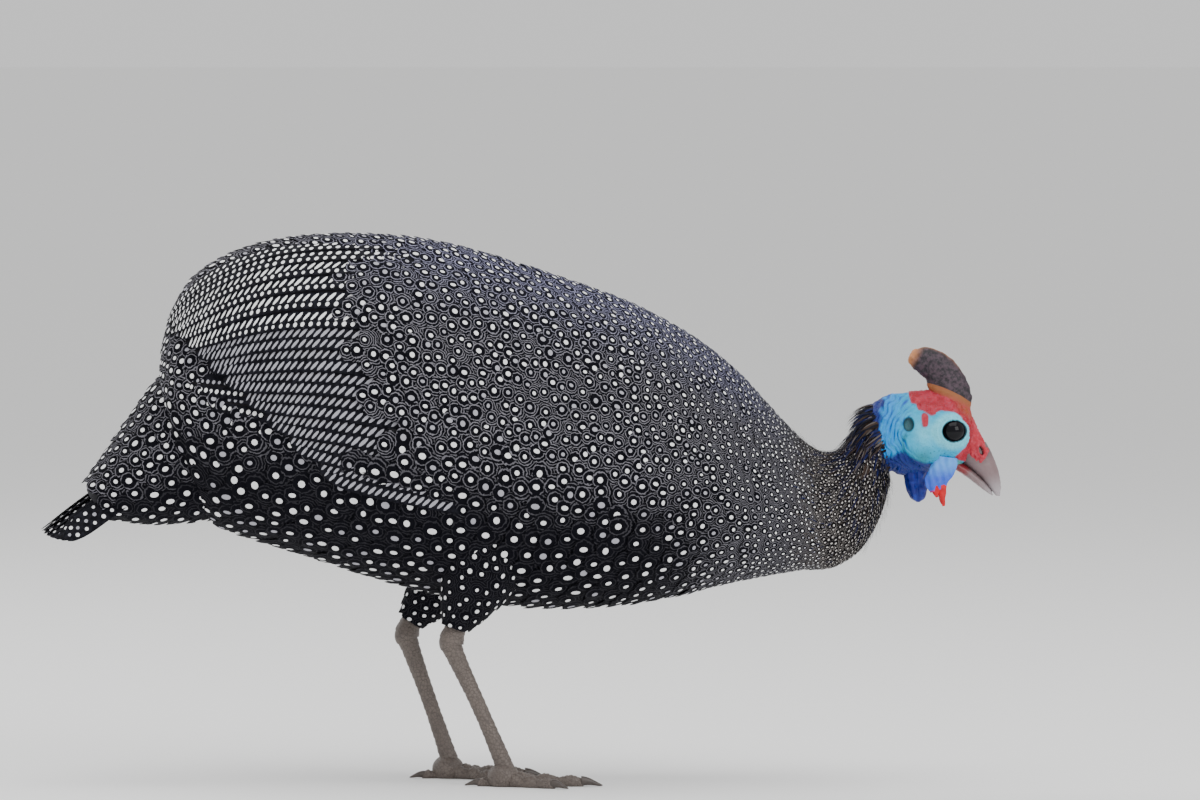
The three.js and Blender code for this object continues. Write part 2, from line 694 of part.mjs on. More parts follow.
// A leg in a group that stands at its foot, with a group turned for each toe and its claw.
function addLeg(sideName) {
  const leg = LEG[sideName];
  const foot = new THREE.Group();
  foot.position.set(leg.foot, leg.y, 0);
  bird.add(foot);
  const [hip, hock] = [leg.hip - leg.foot, leg.hock - leg.foot];
  const { hipHeight, hockHeight, ankleHeight, ankle } = LEG;

  const thighStations = [
    [hip + 8, hipHeight + 18, 27],
    [hip, hipHeight - 8, 22],
    [mix(hip, hock, 0.55), mix(hipHeight, hockHeight, 0.6), 13.5],
    [hock + 2, hockHeight + 8, 7.6],
  ];
  const body = torsoRoom.translate([-leg.foot, -leg.y, 0]);
  addNode(foot, "thigh_" + sideName, taper(thighStations, 14).subtract(body), COLOURS.plumage);

  const shank = taper(
    [
      [hock + 2.2, hockHeight + 9, 5.2],
      [hock, hockHeight, 7.4],
      [hock + 2.2, hockHeight - 8, 5.4],
      [hock * 0.45, mix(hockHeight, ankleHeight, 0.55), 4.3],
      [0, ankleHeight, ankle],
    ],
    10,
  );
  const ground = new THREE.BoxGeometry(80, 80, 40);
  ground.translate(0, 0, -20);
  const standing = union([shank, makePad()]).subtract(solid(ground)).subtract(taper(thighStations, 14, GAP));
  addNode(foot, "shank_" + sideName, standing, COLOURS.leg);

  const footRoom = makePad(GAP).add(taper([[-12, 40, 5], [0, ankleHeight, ankle + GAP]], 12));
  for (const [toeName, toe] of Object.entries(TOES)) {
    const turn = -toe.turn * Math.sign(leg.y);
    const holder = new THREE.Group();
    holder.rotation.z = turn * DEGREE;
    foot.add(holder);
    let made = makeToe(toe).subtract(footRoom.rotate([0, 0, -turn]));
    if (toeName === "inner" || toeName === "outer") {
      made = made.subtract(makeToe(TOES.middle, GAP).rotate([0, 0, -turn]));
    }
    addNode(holder, `toe_${sideName}_${toeName}`, made, COLOURS.leg);
    const claw = addNode(holder, `claw_${sideName}_${toeName}`, makeClaw(toe), COLOURS.claw);
    claw.position.x = toe.length + GAP;
  }
}

// A toe of swollen joints with a flat sole, pointing along X.
function makeToe(toe, grow = 0) {
  const joints = toe.length > 20 ? 3 : 2;
  const steps = joints * 3;
  const rings = [];
  for (let r = 0; r <= steps; r++) {
    const t = r / steps;
    const swell = 1 - 0.13 * Math.cos(2 * Math.PI * joints * t);
    const radius = toe.radius * mix(1, 0.66, t) * swell + grow;
    const ring = [];
    for (let i = 0; i < 8; i++) {
      const a = ((i + 0.5) / 8) * 2 * Math.PI;
      const z = radius * 1.75 * (0.46 + 0.62 * Math.sin(a));
      ring.push(new THREE.Vector3(mix(5, toe.length, t), radius * Math.cos(a), Math.max(z, 0)));
    }
    rings.push(ring);
  }
  return solid(loft(rings));
}

// A claw, curved down to its tip just over the floor, pointing along X from its root.
function makeClaw(toe) {
  const rings = [];
  const root = toe.radius * 0.66;
  for (let r = 0; r <= 4; r++) {
    const t = r / 4;
    const radius = mix(root * 0.82, 0.35, t);
    const middle = mix(root * 1.05, 0.7, smooth(t)) + 0.6 * Math.sin(Math.PI * t);
    const ring = [];
    for (let i = 0; i < 6; i++) {
      const a = ((i + 0.5) / 6) * 2 * Math.PI;
      const z = Math.max(middle + radius * 1.15 * Math.sin(a), 0);
      ring.push(new THREE.Vector3(toe.claw * t, radius * Math.cos(a), z));
    }
    rings.push(ring);
  }
  return solid(loft(rings));
}

// The whole bird.
const head = makeHead();
const headRoom = wholeRow(HEAD, 12, 16, GAP);
const neck = makeNeck();
const upperRoom = wholeRow(UPPER_BILL, 8, 12, GAP);
const billRoom = upperRoom.add(wholeRow(LOWER_BILL, 6, 10, GAP));
const casqueRoom = wholeRow(CASQUE, 8, 12, GAP);
const headAll = head.add(headRoom);

addNode(bird, "torso", makeTorso(), COLOURS.plumage);
addNode(bird, "neck", neck.subtract(headRoom).subtract(torsoRoom), COLOURS.neck);
const skull = head.subtract(casqueRoom).subtract(makeCereFolds(GAP)).subtract(billRoom);
addNode(bird, "head", skull, COLOURS.blueSkin);
addNode(bird, "casque", wholeRow(CASQUE, 8, 12), COLOURS.casque);
addNode(bird, "cere", makeCere().subtract(billRoom), COLOURS.redSkin);
addNode(bird, "bill_upper", wholeRow(UPPER_BILL, 8, 12), COLOURS.bill);
addNode(bird, "bill_lower", wholeRow(LOWER_BILL, 6, 10).subtract(upperRoom), COLOURS.bill);
const throat = makeThroatFold().subtract(headAll).subtract(neck.add(torsoRoom));
addNode(bird, "throat_fold", throat, COLOURS.deepBlue);
for (const [sideName, side] of [["left", 1], ["right", -1]]) {
  addEye(sideName, side);
  const wattle = makeWattle(side).subtract(headAll).subtract(billRoom).subtract(makeThroatFold());
  addNode(bird, "wattle_" + sideName, wattle, COLOURS.deepBlue);
  addNode(bird, "wing_" + sideName, makeWing(side), COLOURS.quills);
  addLeg(sideName);
}
addNode(bird, "tail", makeTail(), COLOURS.quills);

export default bird;
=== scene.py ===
import math

import bmesh
import bpy
import numpy as np
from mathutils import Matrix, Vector
from mathutils.geometry import delaunay_2d_cdt


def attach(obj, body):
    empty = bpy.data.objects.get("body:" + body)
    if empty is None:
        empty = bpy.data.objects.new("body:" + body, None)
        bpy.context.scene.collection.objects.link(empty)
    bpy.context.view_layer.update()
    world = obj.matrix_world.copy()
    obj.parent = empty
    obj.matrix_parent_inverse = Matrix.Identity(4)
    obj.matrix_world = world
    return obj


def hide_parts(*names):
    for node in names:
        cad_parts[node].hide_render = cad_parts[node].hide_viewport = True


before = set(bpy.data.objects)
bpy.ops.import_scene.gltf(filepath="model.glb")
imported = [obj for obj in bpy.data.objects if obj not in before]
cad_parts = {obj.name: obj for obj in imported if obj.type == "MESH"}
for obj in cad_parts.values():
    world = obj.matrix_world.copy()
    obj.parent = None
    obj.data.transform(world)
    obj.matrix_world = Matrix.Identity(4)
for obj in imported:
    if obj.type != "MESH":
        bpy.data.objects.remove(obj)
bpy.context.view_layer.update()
mm = 0.001
fullTurn = 2 * math.pi


# Sums of sockets

class Wire:  # a socket that takes part in Python sums
    def __init__(self, finish, socket):
        self.finish = finish
        self.socket = socket

    def __add__(self, other):
        return self.finish.maths("ADD", self, other)

    def __sub__(self, other):
        return self.finish.maths("SUBTRACT", self, other)

    def __rsub__(self, other):
        return self.finish.maths("SUBTRACT", other, self)

    def __mul__(self, other):
        return self.finish.maths("MULTIPLY", self, other)

    def __truediv__(self, other):
        return self.finish.maths("DIVIDE", self, other)

    def __pow__(self, other):
        return self.finish.maths("POWER", self, other)

    __radd__ = __add__
    __rmul__ = __mul__


class Finish:  # one material, with the nodes that feed its shader
    def __init__(self, name, colour, roughness, **fixed):
        self.material = bpy.data.materials.new(name)
        self.material.use_nodes = True
        self.material.diffuse_color = (*colour, 1)
        self.tree = self.material.node_tree
        self.shader = self.tree.nodes["Principled BSDF"]
        self.shader.inputs["Base Color"].default_value = (*colour, 1)
        self.shader.inputs["Roughness"].default_value = roughness
        for socket, value in fixed.items():
            self.shader.inputs[socket.replace("_", " ")].default_value = value

    def node(self, kind, settings=None, inputs=None, output=0):
        made = self.tree.nodes.new(kind)
        for key, value in (settings or {}).items():
            if key == "stops":
                ramp = made.color_ramp
                while len(ramp.elements) < len(value):
                    ramp.elements.new(0.5)
                for element, (place, colour) in zip(ramp.elements, value):
                    element.position = place
                    element.color = (*colour, 1)
            else:
                setattr(made, key, value)
        for key, value in (inputs or {}).items():
            if isinstance(value, Wire):
                self.tree.links.new(value.socket, made.inputs[key])
            else:
                made.inputs[key].default_value = value
        return Wire(self, made.outputs[output])

    def maths(self, operation, *values):
        return self.node("ShaderNodeMath", {"operation": operation}, dict(enumerate(values)))

    def clamp(self, value, low=0.0, high=1.0):
        return self.node("ShaderNodeClamp", None, {0: value, 1: low, 2: high})

    def step(self, value, start, end):  # 0 at start, 1 at end, smooth between
        inputs = {0: value, 1: start, 2: end, 3: 0.0, 4: 1.0}
        return self.node("ShaderNodeMapRange", {"interpolation_type": "SMOOTHSTEP"}, inputs)

    def mix(self, factor, first, second):
        def colour(value):
            return value if isinstance(value, Wire) else (*value, 1)
        inputs = {0: factor, 6: colour(first), 7: colour(second)}
        return self.node("ShaderNodeMix", {"data_type": "RGBA"}, inputs, 2)

    def attribute(self, name):
        return self.node("ShaderNodeAttribute", {"attribute_name": name}, None, "Fac")

    def place(self):
        return self.node("ShaderNodeTexCoord", None, None, "Object")

    def uv(self, name):
        return self.node("ShaderNodeUVMap", {"uv_map": name})

    def split(self, vector):
        made = self.node("ShaderNodeSeparateXYZ", None, {0: vector}).socket.node
        return [Wire(self, socket) for socket in made.outputs]

    def cells(self, vector, scale, feature="F1"):
        inputs = {"Vector": vector, "Scale": scale}
        return self.node("ShaderNodeTexVoronoi", {"feature": feature}, inputs, "Distance")

    def frayed(self, mark, cloud, amount):  # a mark whose edge is broken up by a noise
        return self.clamp(self.attribute(mark) + (cloud - 0.5) * amount)

    def noise(self, vector, scale, detail=3.0, rough=0.55):
        inputs = {"Vector": vector, "Scale": scale, "Detail": detail, "Roughness": rough}
        return self.node("ShaderNodeTexNoise", None, inputs, "Fac")

    def bump(self, height, strength, distance):
        inputs = {"Height": height, "Strength": strength, "Distance": distance}
        self.feed("Normal", self.node("ShaderNodeBump", None, inputs))

    def feed(self, socket, wire):
        self.tree.links.new(wire.socket, self.shader.inputs[socket])


# Shape tools

def smooth(value, start, end):
    t = np.clip((value - start) / (end - start), 0, 1)
    return t * t * (3 - 2 * t)


def bell(value):  # 1 at 0, falling away on both sides
    return np.exp(-(value**2))


def apart(x, z, middle, size=(1, 1)):  # distance from the middle of an oval, counted in its half sizes
    return np.hypot((x - middle[0]) / size[0], (z - middle[1]) / size[1])


def unit(vectors):
    return vectors / np.maximum(np.linalg.norm(vectors, axis=-1, keepdims=True), 1e-12)


def ripple(points, size, seed, count=9):  # soft noise, about -1 to 1
    draw = np.random.default_rng(seed)
    total = np.zeros(points.shape[:-1])
    for _ in range(count):
        direction = draw.normal(size=3)
        direction *= fullTurn / size * draw.uniform(0.6, 1.5) / np.linalg.norm(direction)
        total += np.sin(points @ direction + draw.uniform(0, fullTurn))
    return total / math.sqrt(count)


def curve(rows, index, t):  # a smooth line through rows, at share t of the way on from row index + 1
    a, b, c, d = (rows[index + k] for k in range(4))
    return (
        b * (2 * t**3 - 3 * t**2 + 1)
        + (c - a) / 2 * (t**3 - 2 * t**2 + t)
        + c * (3 * t**2 - 2 * t**3)
        + (d - b) / 2 * (t**3 - t**2)
    )


def ringGrid(places, columns):  # place and turn at every point of closed rings
    return np.meshgrid(places, np.linspace(0, fullTurn, columns, endpoint=False), indexing="ij")


class Surface:  # a closed loft through chords: place counts them, turn runs round from the top to the left
    def __init__(self, chords, low=0.0):
        self.chords = np.array(chords, float) * mm  # top X, top Z, bottom X, bottom Z, half width
        self.low = low
        first, second = self.chords[0], self.chords[1]
        if first[4] == 0:  # a closed end goes on mirrored, so it is round
            before = np.array([second[2], second[3], second[0], second[1], -second[4]])
        else:
            before = 2 * first - second
        self.padded = np.vstack([before, self.chords, 2 * self.chords[-1] - self.chords[-2]])
        self.last = len(chords) - 1

    def oval(self, place, turn):
        place, turn = np.broadcast_arrays(np.asarray(place, float), np.asarray(turn, float))
        index = np.clip(np.floor(place).astype(int), 0, self.last - 1)
        chord = curve(self.padded, index, (place - index)[..., None])
        up = np.cos(turn)
        share = 0.5 + up / 2
        x = chord[..., 2] + (chord[..., 0] - chord[..., 2]) * share
        z = chord[..., 3] + (chord[..., 1] - chord[..., 3]) * share
        y = chord[..., 4] * np.sin(turn) * (1 - self.low * up)
        return np.stack([x, y, z], -1)

    def slopes(self, place, turn, step=0.02):
        ahead = self.oval(place + step, turn) - self.oval(np.maximum(place - step, 0.01), turn)
        round_ = self.oval(place, turn + step) - self.oval(place, turn - step)
        return ahead / (2 * step), round_ / (2 * step)

    def point(self, place, turn, height=0.0):
        normal = unit(np.cross(*self.slopes(place, turn)))
        return self.oval(place, turn) + normal * np.asarray(height)[..., None]


def addObject(name, data):
    made = bpy.data.objects.new(name, data)
    bpy.context.collection.objects.link(made)
    return made


def makePiece(name, points, faces, finishes, slots=None, uvs=None, marks=None, node=None, slot=None):
    mesh = bpy.data.meshes.new(name)
    mesh.from_pydata(np.asarray(points, float), [], faces)
    for finish in finishes:
        mesh.materials.append(finish.material)
    if slots is not None:
        mesh.polygons.foreach_set("material_index", np.asarray(slots, np.int32))
    corners = np.empty(len(mesh.loops), np.int32)
    mesh.loops.foreach_get("vertex_index", corners)
    for layer, values in (uvs or {}).items():
        made = mesh.uv_layers.new(name=layer)
        made.data.foreach_set("uv", np.asarray(values, np.float32)[corners].ravel())
    for mark, values in (marks or {}).items():
        made = mesh.attributes.new(mark, "FLOAT", "POINT")
        made.data.foreach_set("value", np.asarray(values, np.float32))
    mesh.shade_smooth()
    mesh.update()
    piece = addObject(name, mesh)
    if node:
        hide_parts(*node)
    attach(piece, "root")
    return piece


def loftPiece(name, rings, finishes, marks=None, **more):  # a skin over rings of points, closed by flat fans
    rings = np.asarray(rings)
    rows, columns = rings.shape[:2]
    points = np.vstack([rings.reshape(-1, 3), rings[0].mean(0), rings[-1].mean(0)])
    first, last = rows * columns, rows * columns + 1
    faces = []
    for r in range(rows - 1):
        for c in range(columns):
            d = (c + 1) % columns
            faces.append((r * columns + c, r * columns + d, (r + 1) * columns + d, (r + 1) * columns + c))
    for c in range(columns):
        d = (c + 1) % columns
        faces.append((first, d, c))
        faces.append((last, (rows - 1) * columns + c, (rows - 1) * columns + d))
    marks = {key: np.append(np.ravel(value), [0, 0]) for key, value in (marks or {}).items()}
    return makePiece(name, points, faces, finishes, marks=marks, **more)


def cutCard(outline, spots, fill, slots=None):  # triangles of a flat card, with each spot's own slot
    coords = [Vector(p) for p in outline]
    edges = [(k, (k + 1) % len(outline)) for k in range(len(outline))]
    for spot in spots:
        start = len(coords)
        coords += [Vector(p) for p in spot]
        edges += [(start + k, start + (k + 1) % len(spot)) for k in range(len(spot))]
    coords += [Vector(p) for p in fill]
    made = delaunay_2d_cdt(coords, edges, [], 1, 1e-5)
    points = np.array([tuple(p) for p in made[0]])
    faces = np.array([tuple(f) for f in made[2] if len(f) == 3])
    middles = points[faces].mean(1)
    white = np.zeros(len(faces), int)
    for number, spot in enumerate(spots):
        ring = np.asarray(spot)
        inside = np.zeros(len(faces), bool)
        for a, b in zip(ring, np.roll(ring, -1, 0)):
            crosses = (a[1] > middles[:, 1]) != (b[1] > middles[:, 1])
            with np.errstate(divide="ignore", invalid="ignore"):
                x = a[0] + (middles[:, 1] - a[1]) * (b[0] - a[0]) / (b[1] - a[1])
            inside ^= crosses & (middles[:, 0] < x)
        white[inside] = slots[number] if slots else 1
    return points, faces, white


def repeatFaces(faces, count, size):  # the faces of count copies of a card that has size points
    return (faces[None] + (np.arange(count) * size)[:, None, None]).reshape(-1, 3)


def bakeSpot(place, turn, last):  # each card's own corner of the OFBake map
    return np.stack([place / last * 0.96 + 0.02, (turn / fullTurn) % 1 * 0.96 + 0.02], -1)


# The bird's outline, through the same chords as the solids

bodyChords = [
    (-206.8, 230.8, -206.8, 230.8, 0),
    (-201.5, 268.5, -198.1, 182.7, 36),
    (-182.4, 294.1, -176.6, 152.5, 52),
    (-150.5, 309.1, -149.3, 142.1, 62.5),
    (-109.9, 314.5, -116.9, 131.7, 69.5),
    (-63.5, 312.8, -76.3, 118.9, 74),
    (-17.1, 304.5, -34.5, 108.5, 74.5),
    (23.5, 292.3, 9.0, 103.8, 73),
    (64.1, 277.5, 49.6, 104.4, 70),
    (98.9, 259.0, 86.1, 109.0, 65),
    (125.0, 239.0, 116.3, 116.0, 58.5),
    (145.3, 217.5, 140.6, 120.6, 49),
    (160.9, 201.1, 162.7, 124.1, 41),
    (171.4, 192.6, 181.2, 126.0, 34),
    (179.5, 190.2, 196.3, 136.0, 28),
    (188.2, 193.6, 206.5, 152.0, 23.5),
    (195.8, 204.2, 212.2, 169.3, 20.5),
    (202.1, 217.1, 214.6, 180.4, 19),
]
headChords = [
    (212.6, 224.6, 220.6, 179.0, 18),
    (222.4, 226.2, 228.8, 178.6, 16.8),
    (233.4, 227.2, 238.0, 180.6, 15.6),
    (243.9, 227.0, 245.6, 181.8, 14.6),
    (252.6, 224.6, 251.4, 182.2, 13.2),
    (259.0, 218.6, 255.4, 184.0, 11),
    (263.2, 209.4, 258.4, 186.6, 8.6),
]
cereChords = [
    (262.9, 212.4, 257.0, 188.6, 8.4),
    (266.6, 204.6, 260.0, 187.4, 7.9),
    (269.8, 197.8, 262.6, 185.6, 7.2),
    (272.6, 192.6, 266.0, 183.4, 6.1),
]
upperBillChords = [
    (270.0, 197.6, 253.6, 189.4, 6.3),
    (272.9, 192.2, 255.6, 186.3, 5.9),
    (275.6, 186.0, 262.2, 181.6, 5.2),
    (277.8, 179.2, 268.0, 176.4, 4.1),
    (278.8, 172.0, 273.0, 170.6, 2.6),
    (278.2, 166.4, 276.4, 166.6, 0.7),
]
lowerBillChords = [
    (250.6, 187.0, 250.0, 182.6, 5.4),
    (254.4, 185.4, 253.6, 181.2, 5.2),
    (261.4, 180.8, 259.6, 177.2, 4.4),
    (267.3, 175.7, 265.8, 172.4, 3.3),
    (272.2, 170.2, 271.6, 168.2, 1.9),
    (274.6, 167.2, 274.4, 166.6, 0.7),
]
casqueChords = [
    (262.2, 212.0, 238.6, 222.4, 7.6),
    (261.8, 217.6, 238.0, 226.6, 7.2),
    (262.2, 224.6, 236.6, 229.4, 6.6),
    (260.0, 232.4, 236.4, 232.2, 6.0),
    (255.0, 241.0, 235.4, 234.2, 5.6),
    (247.4, 248.6, 232.6, 236.8, 5.3),
    (237.4, 252.6, 229.6, 239.4, 4.9),
    (229.4, 251.6, 226.6, 242.4, 3.8),
    (226.4, 249.0, 225.4, 245.0, 1.4),
]
wattleRow = [  # front X, front Z, rear X, rear Z, half thickness
    (253.4, 188.6, 240.4, 190.4, 2.2),
    (253.4, 184.0, 237.6, 183.2, 2.0),
    (250.8, 178.4, 235.0, 177.4, 1.7),
    (248.0, 174.2, 235.4, 172.4, 1.5),
    (246.0, 171.2, 238.0, 168.8, 1.0),
]
wattleTipRows = [
    [
        (243.6, 173.6, 237.8, 171.8, 1.2),
        (243.2, 169.8, 239.4, 168.6, 1.1),
        (242.6, 166.4, 241.2, 166.0, 0.6),
    ],
    [
        (247.4, 174.0, 242.2, 172.8, 1.2),
        (247.0, 168.4, 243.0, 167.4, 1.1),
        (246.4, 161.2, 245.0, 161.0, 0.6),
    ],
]
throatRow = [
    (237.0, 186.4, 219.2, 194.0, 8.4),
    (236.8, 180.6, 221.2, 186.2, 7.8),
    (236.0, 175.4, 222.8, 178.6, 6.4),
    (236.4, 169.8, 224.2, 171.0, 5.2),
    (235.2, 165.4, 226.8, 165.4, 3.6),
    (232.6, 162.9, 230.2, 162.9, 1.6),
]
body = Surface(bodyChords, 0.07)
skinRow = Surface(bodyChords + headChords, 0.07)
headFrom = len(bodyChords) - 1  # place of the nape on the skin


# Camera, lights and floor

def setStage():
    stage = {
        "middle": (0.0467, 0.0, 0.2221),  # what the middle of the picture shows
        "pictureWidth": 0.696,
        "distance": 6.0,
        "elevation": 2.0,
        "sensor": 36,
        "farthest": 400,
        "floorHalf": 150,
        "floorColour": (0.93, 0.93, 0.925),
        "sky": 0.82,
        "lights": {  # place, size, power
            "skyLight": ((0.1, -0.5, 2.6), 2.6, 46),
            "sideLight": ((1.9, -2.2, 1.5), 1.6, 34),
            "backLight": ((-1.8, 1.6, 1.9), 1.4, 26),
        },
    }
    camera = addObject("camera", bpy.data.cameras.new("camera"))
    bpy.context.scene.camera = camera
    tilt = math.radians(stage["elevation"])
    middle = Vector(stage["middle"])
    camera.location = middle + Vector((0, -math.cos(tilt), math.sin(tilt))) * stage["distance"]
    camera.rotation_euler = (math.pi / 2 - tilt, 0, 0)
    camera.data.lens = stage["sensor"] * stage["distance"] / stage["pictureWidth"]
    camera.data.clip_end = stage["farthest"]
    for name, (place, size, power) in stage["lights"].items():
        lamp = bpy.data.lights.new(name, "AREA")
        lamp.size = size
        lamp.energy = power
        made = addObject(name, lamp)
        made.location = place
        made.rotation_euler = (middle - Vector(place)).to_track_quat("-Z", "Y").to_euler()
    world = bpy.data.worlds.new("studio")
    world.use_nodes = True
    world.node_tree.nodes["Background"].inputs[0].default_value = (1, 1, 1, 1)
    world.node_tree.nodes["Background"].inputs[1].default_value = stage["sky"]
    bpy.context.scene.world = world
    ground = Finish("studioFloor", stage["floorColour"], 0.85)
    mesh = bpy.data.meshes.new("floor")
    h = stage["floorHalf"]
    mesh.from_pydata([(-h, -h, 0), (h, -h, 0), (h, h, 0), (-h, h, 0)], [], [(0, 1, 2, 3)])
    mesh.materials.append(ground.material)
    floor = addObject("floor", mesh)


setStage()
print("stage set")


# Finishes of the feathers

plumage = {
    "black": (0.0025, 0.0025, 0.005),
    # painted sheen: this violet and the lilac below stand in for light glinting on the upper back
    "sheenViolet": (0.006, 0.006, 0.013),
    "grey": (0.19, 0.185, 0.21),
    "sheenLilac": (0.25, 0.25, 0.38),
    "white": (0.88, 0.88, 0.89),
    "dimWhite": (0.36, 0.355, 0.40),
    "paleMark": (0.50, 0.47, 0.45),
    "neckBlack": (0.008, 0.007, 0.008),
    "neckGrey": (0.26, 0.24, 0.23),
    "down": (0.018, 0.018, 0.022),  # under the feathers of tail and thighs
    "roughness": 0.8,
    "ring": 1.9,  # radius of the black ring round a spot, in spot radii
    "lineStep": 1.15,  # between the grey lines, in spot radii
}


def makeCoatFinish():
    # The quill map counts in spot radii from the spot's middle, so each spot keeps a black ring.
    finish = Finish("coatDark", plumage["black"], plumage["roughness"], Specular_IOR_Level=0.08)
    across, along, _ = finish.split(finish.uv("quill"))
    wobble = finish.noise(finish.place(), 520.0, 2.0) - 0.5
    away = finish.maths("SQRT", across * across + along * along + 0.001)
    ring = finish.step(away, plumage["ring"] - 0.12, plumage["ring"] + 0.1)
    lines = finish.maths("SINE", (away + wobble * 1.5) * (fullTurn / plumage["lineStep"]))
    wavy = finish.step(lines, 0.2, 0.75) * ring * finish.attribute("grey")
    # painted sheen: the sheen mark turns the black violet and the grey lines lilac on the upper back, where
    # light glints
    sheen = finish.attribute("sheen")
    brown = finish.attribute("brown")
    base = finish.mix(sheen, plumage["black"], plumage["sheenViolet"])
    base = finish.mix(brown, base, plumage["neckBlack"])
    line = finish.mix(sheen, plumage["grey"], plumage["sheenLilac"])
    line = finish.mix(brown, line, plumage["neckGrey"])
    finish.feed("Base Color", finish.mix(finish.clamp(wavy), base, line))
    barbs = finish.maths("SINE", (along - finish.maths("ABSOLUTE", across) * 0.8) * 14.0)
    finish.bump(barbs, 0.22, 0.0002)
    return finish


coatDark = makeCoatFinish()
coatSpot = Finish("coatSpot", plumage["white"], 0.7)
dimSpot = Finish("dimSpot", plumage["dimWhite"], 0.7)
neckMark = Finish("neckMark", plumage["paleMark"], 0.8)


# Small feathers

wing = {
    "lift": 5.0,  # how far the folded wing lifts the coat, in mm
    "ridge": 2.6,  # the same over the upper edge of its long feathers
    "tips": (  # where its long feathers end, for each angle down from the back
        [13, 24, 50, 62, 75, 82, 90, 97, 104, 112],
        [1.4, 1.15, 1.45, 1.75, 1.7, 1.55, 1.95, 2.4, 3.0, 4.4],
    ),
    "front": ([10, 40, 75, 110], [3.9, 4.25, 4.6, 5.1]),  # where the coat begins again, for each angle
    "span": (16, 110),  # the angles between which these lie bare
}
coatGap = {  # in mm, at each place along the bird
    "upper": ([0, 4, 7, 9, 10.5, 12, 13, 15, 17], [7.0, 7.0, 6.6, 5.2, 4.2, 3.1, 2.7, 2.4, 2.3]),
    "lower": ([0, 3, 8, 9.5, 11, 12.5, 14, 17], [8.4, 9.8, 9.8, 7, 4.4, 3.1, 2.6, 2.2]),
    "between": (78, 125),  # the angles over which one gives way to the other
}


def downAngle(turn):  # degrees down from the middle of the back
    return np.degrees(np.abs(turn))


def wingRise(place, turn):  # how far the wing lifts the coat, in metres
    angle = downAngle(turn)
    front = 1 - smooth(place, 8.2, 9.6)
    upper = smooth(angle, 16, 46)
    lower = 1 - smooth(angle, 106, 119)
    ridge = (1 - smooth(angle, 15, 27)) * smooth(place, 0.9, 1.9) * (1 - smooth(place, 5, 6.5))
    return (wing["lift"] * front * upper * lower * smooth(place, 3.4, 5.0) + wing["ridge"] * ridge) * mm


def coatSpacing(place, turn):
    upper = np.interp(place, *coatGap["upper"])
    lower = np.interp(place, *coatGap["lower"])
    return (upper + (lower - upper) * smooth(downAngle(turn), *coatGap["between"])) * mm


def everywhere(place, turn):
    return np.ones_like(place)


def scatter(surface, spacing, span, keep, seed, tries):
    # Evenly strewn places on a surface, spacing(place, turn) apart.
    closest = 0.8  # of the mean spacing of two neighbours
    draw = np.random.default_rng(seed)
    places = np.linspace(*span, 240)
    turns = np.linspace(-math.pi, math.pi, 160, endpoint=False)
    gridPlace, gridTurn = np.meshgrid(places, turns, indexing="ij")
    weight = np.linalg.norm(np.cross(*surface.slopes(gridPlace, gridTurn)), axis=-1)
    weight = weight / spacing(gridPlace, gridTurn) ** 2 * keep(gridPlace, gridTurn)
    picked = draw.choice(weight.size, tries, p=(weight / weight.sum()).ravel())
    place = gridPlace.ravel()[picked] + draw.uniform(-0.5, 0.5, tries) * (places[1] - places[0])
    place = np.clip(place, *span)
    turn = gridTurn.ravel()[picked] + draw.uniform(-0.5, 0.5, tries) * (turns[1] - turns[0])
    points = surface.oval(place, turn)
    gap = spacing(place, turn)
    kept = np.empty((tries, 4))
    chosen = []
    for k in range(tries):
        rivals = kept[: len(chosen)]
        near = rivals[np.abs(rivals[:, :3] - points[k]).max(1) < gap[k] * 1.1]
        away = ((near[:, :3] - points[k]) ** 2).sum(1)
        if (away < (closest * 0.5 * (near[:, 3] + gap[k])) ** 2).any():
            continue
        kept[len(chosen)] = (*points[k], gap[k])
        chosen.append(k)
    return place[chosen], turn[chosen], gap[chosen]


def featherCard(fine):  # a small feather: across -1 to 1, along 0 at its root to 1 at its tip
    spotAt, spotWide, spotLong = 0.82, 0.235, 0.08
    count, sides = (9, 10) if fine else (5, 7)
    outline = []
    for k in range(count + 1):
        a = k / count * math.pi * 0.5
        outline.append((math.cos(a) ** 0.8 if k < count else 0.0, 0.62 + 0.38 * math.sin(a)))
    left = [(-x, y) for x, y in reversed(outline[:-1])]
    lower = [(-0.86, 0.42), (-0.55, 0.12), (-0.3, 0.0), (0.3, 0.0), (0.55, 0.12), (0.86, 0.42)]
    spot = []
    for k in range(sides):
        a = fullTurn * k / sides
        spot.append((spotWide * math.cos(a), spotAt + spotLong * math.sin(a)))
    fill = [(0, 0.35)]
    if fine:
        fill = [(0.0, 0.2), (-0.5, 0.5), (0.5, 0.5), (0.0, 0.5), (0.62, 0.74), (-0.62, 0.74)]
    return cutCard(outline + left + lower, [spot], fill), spotAt, spotLong


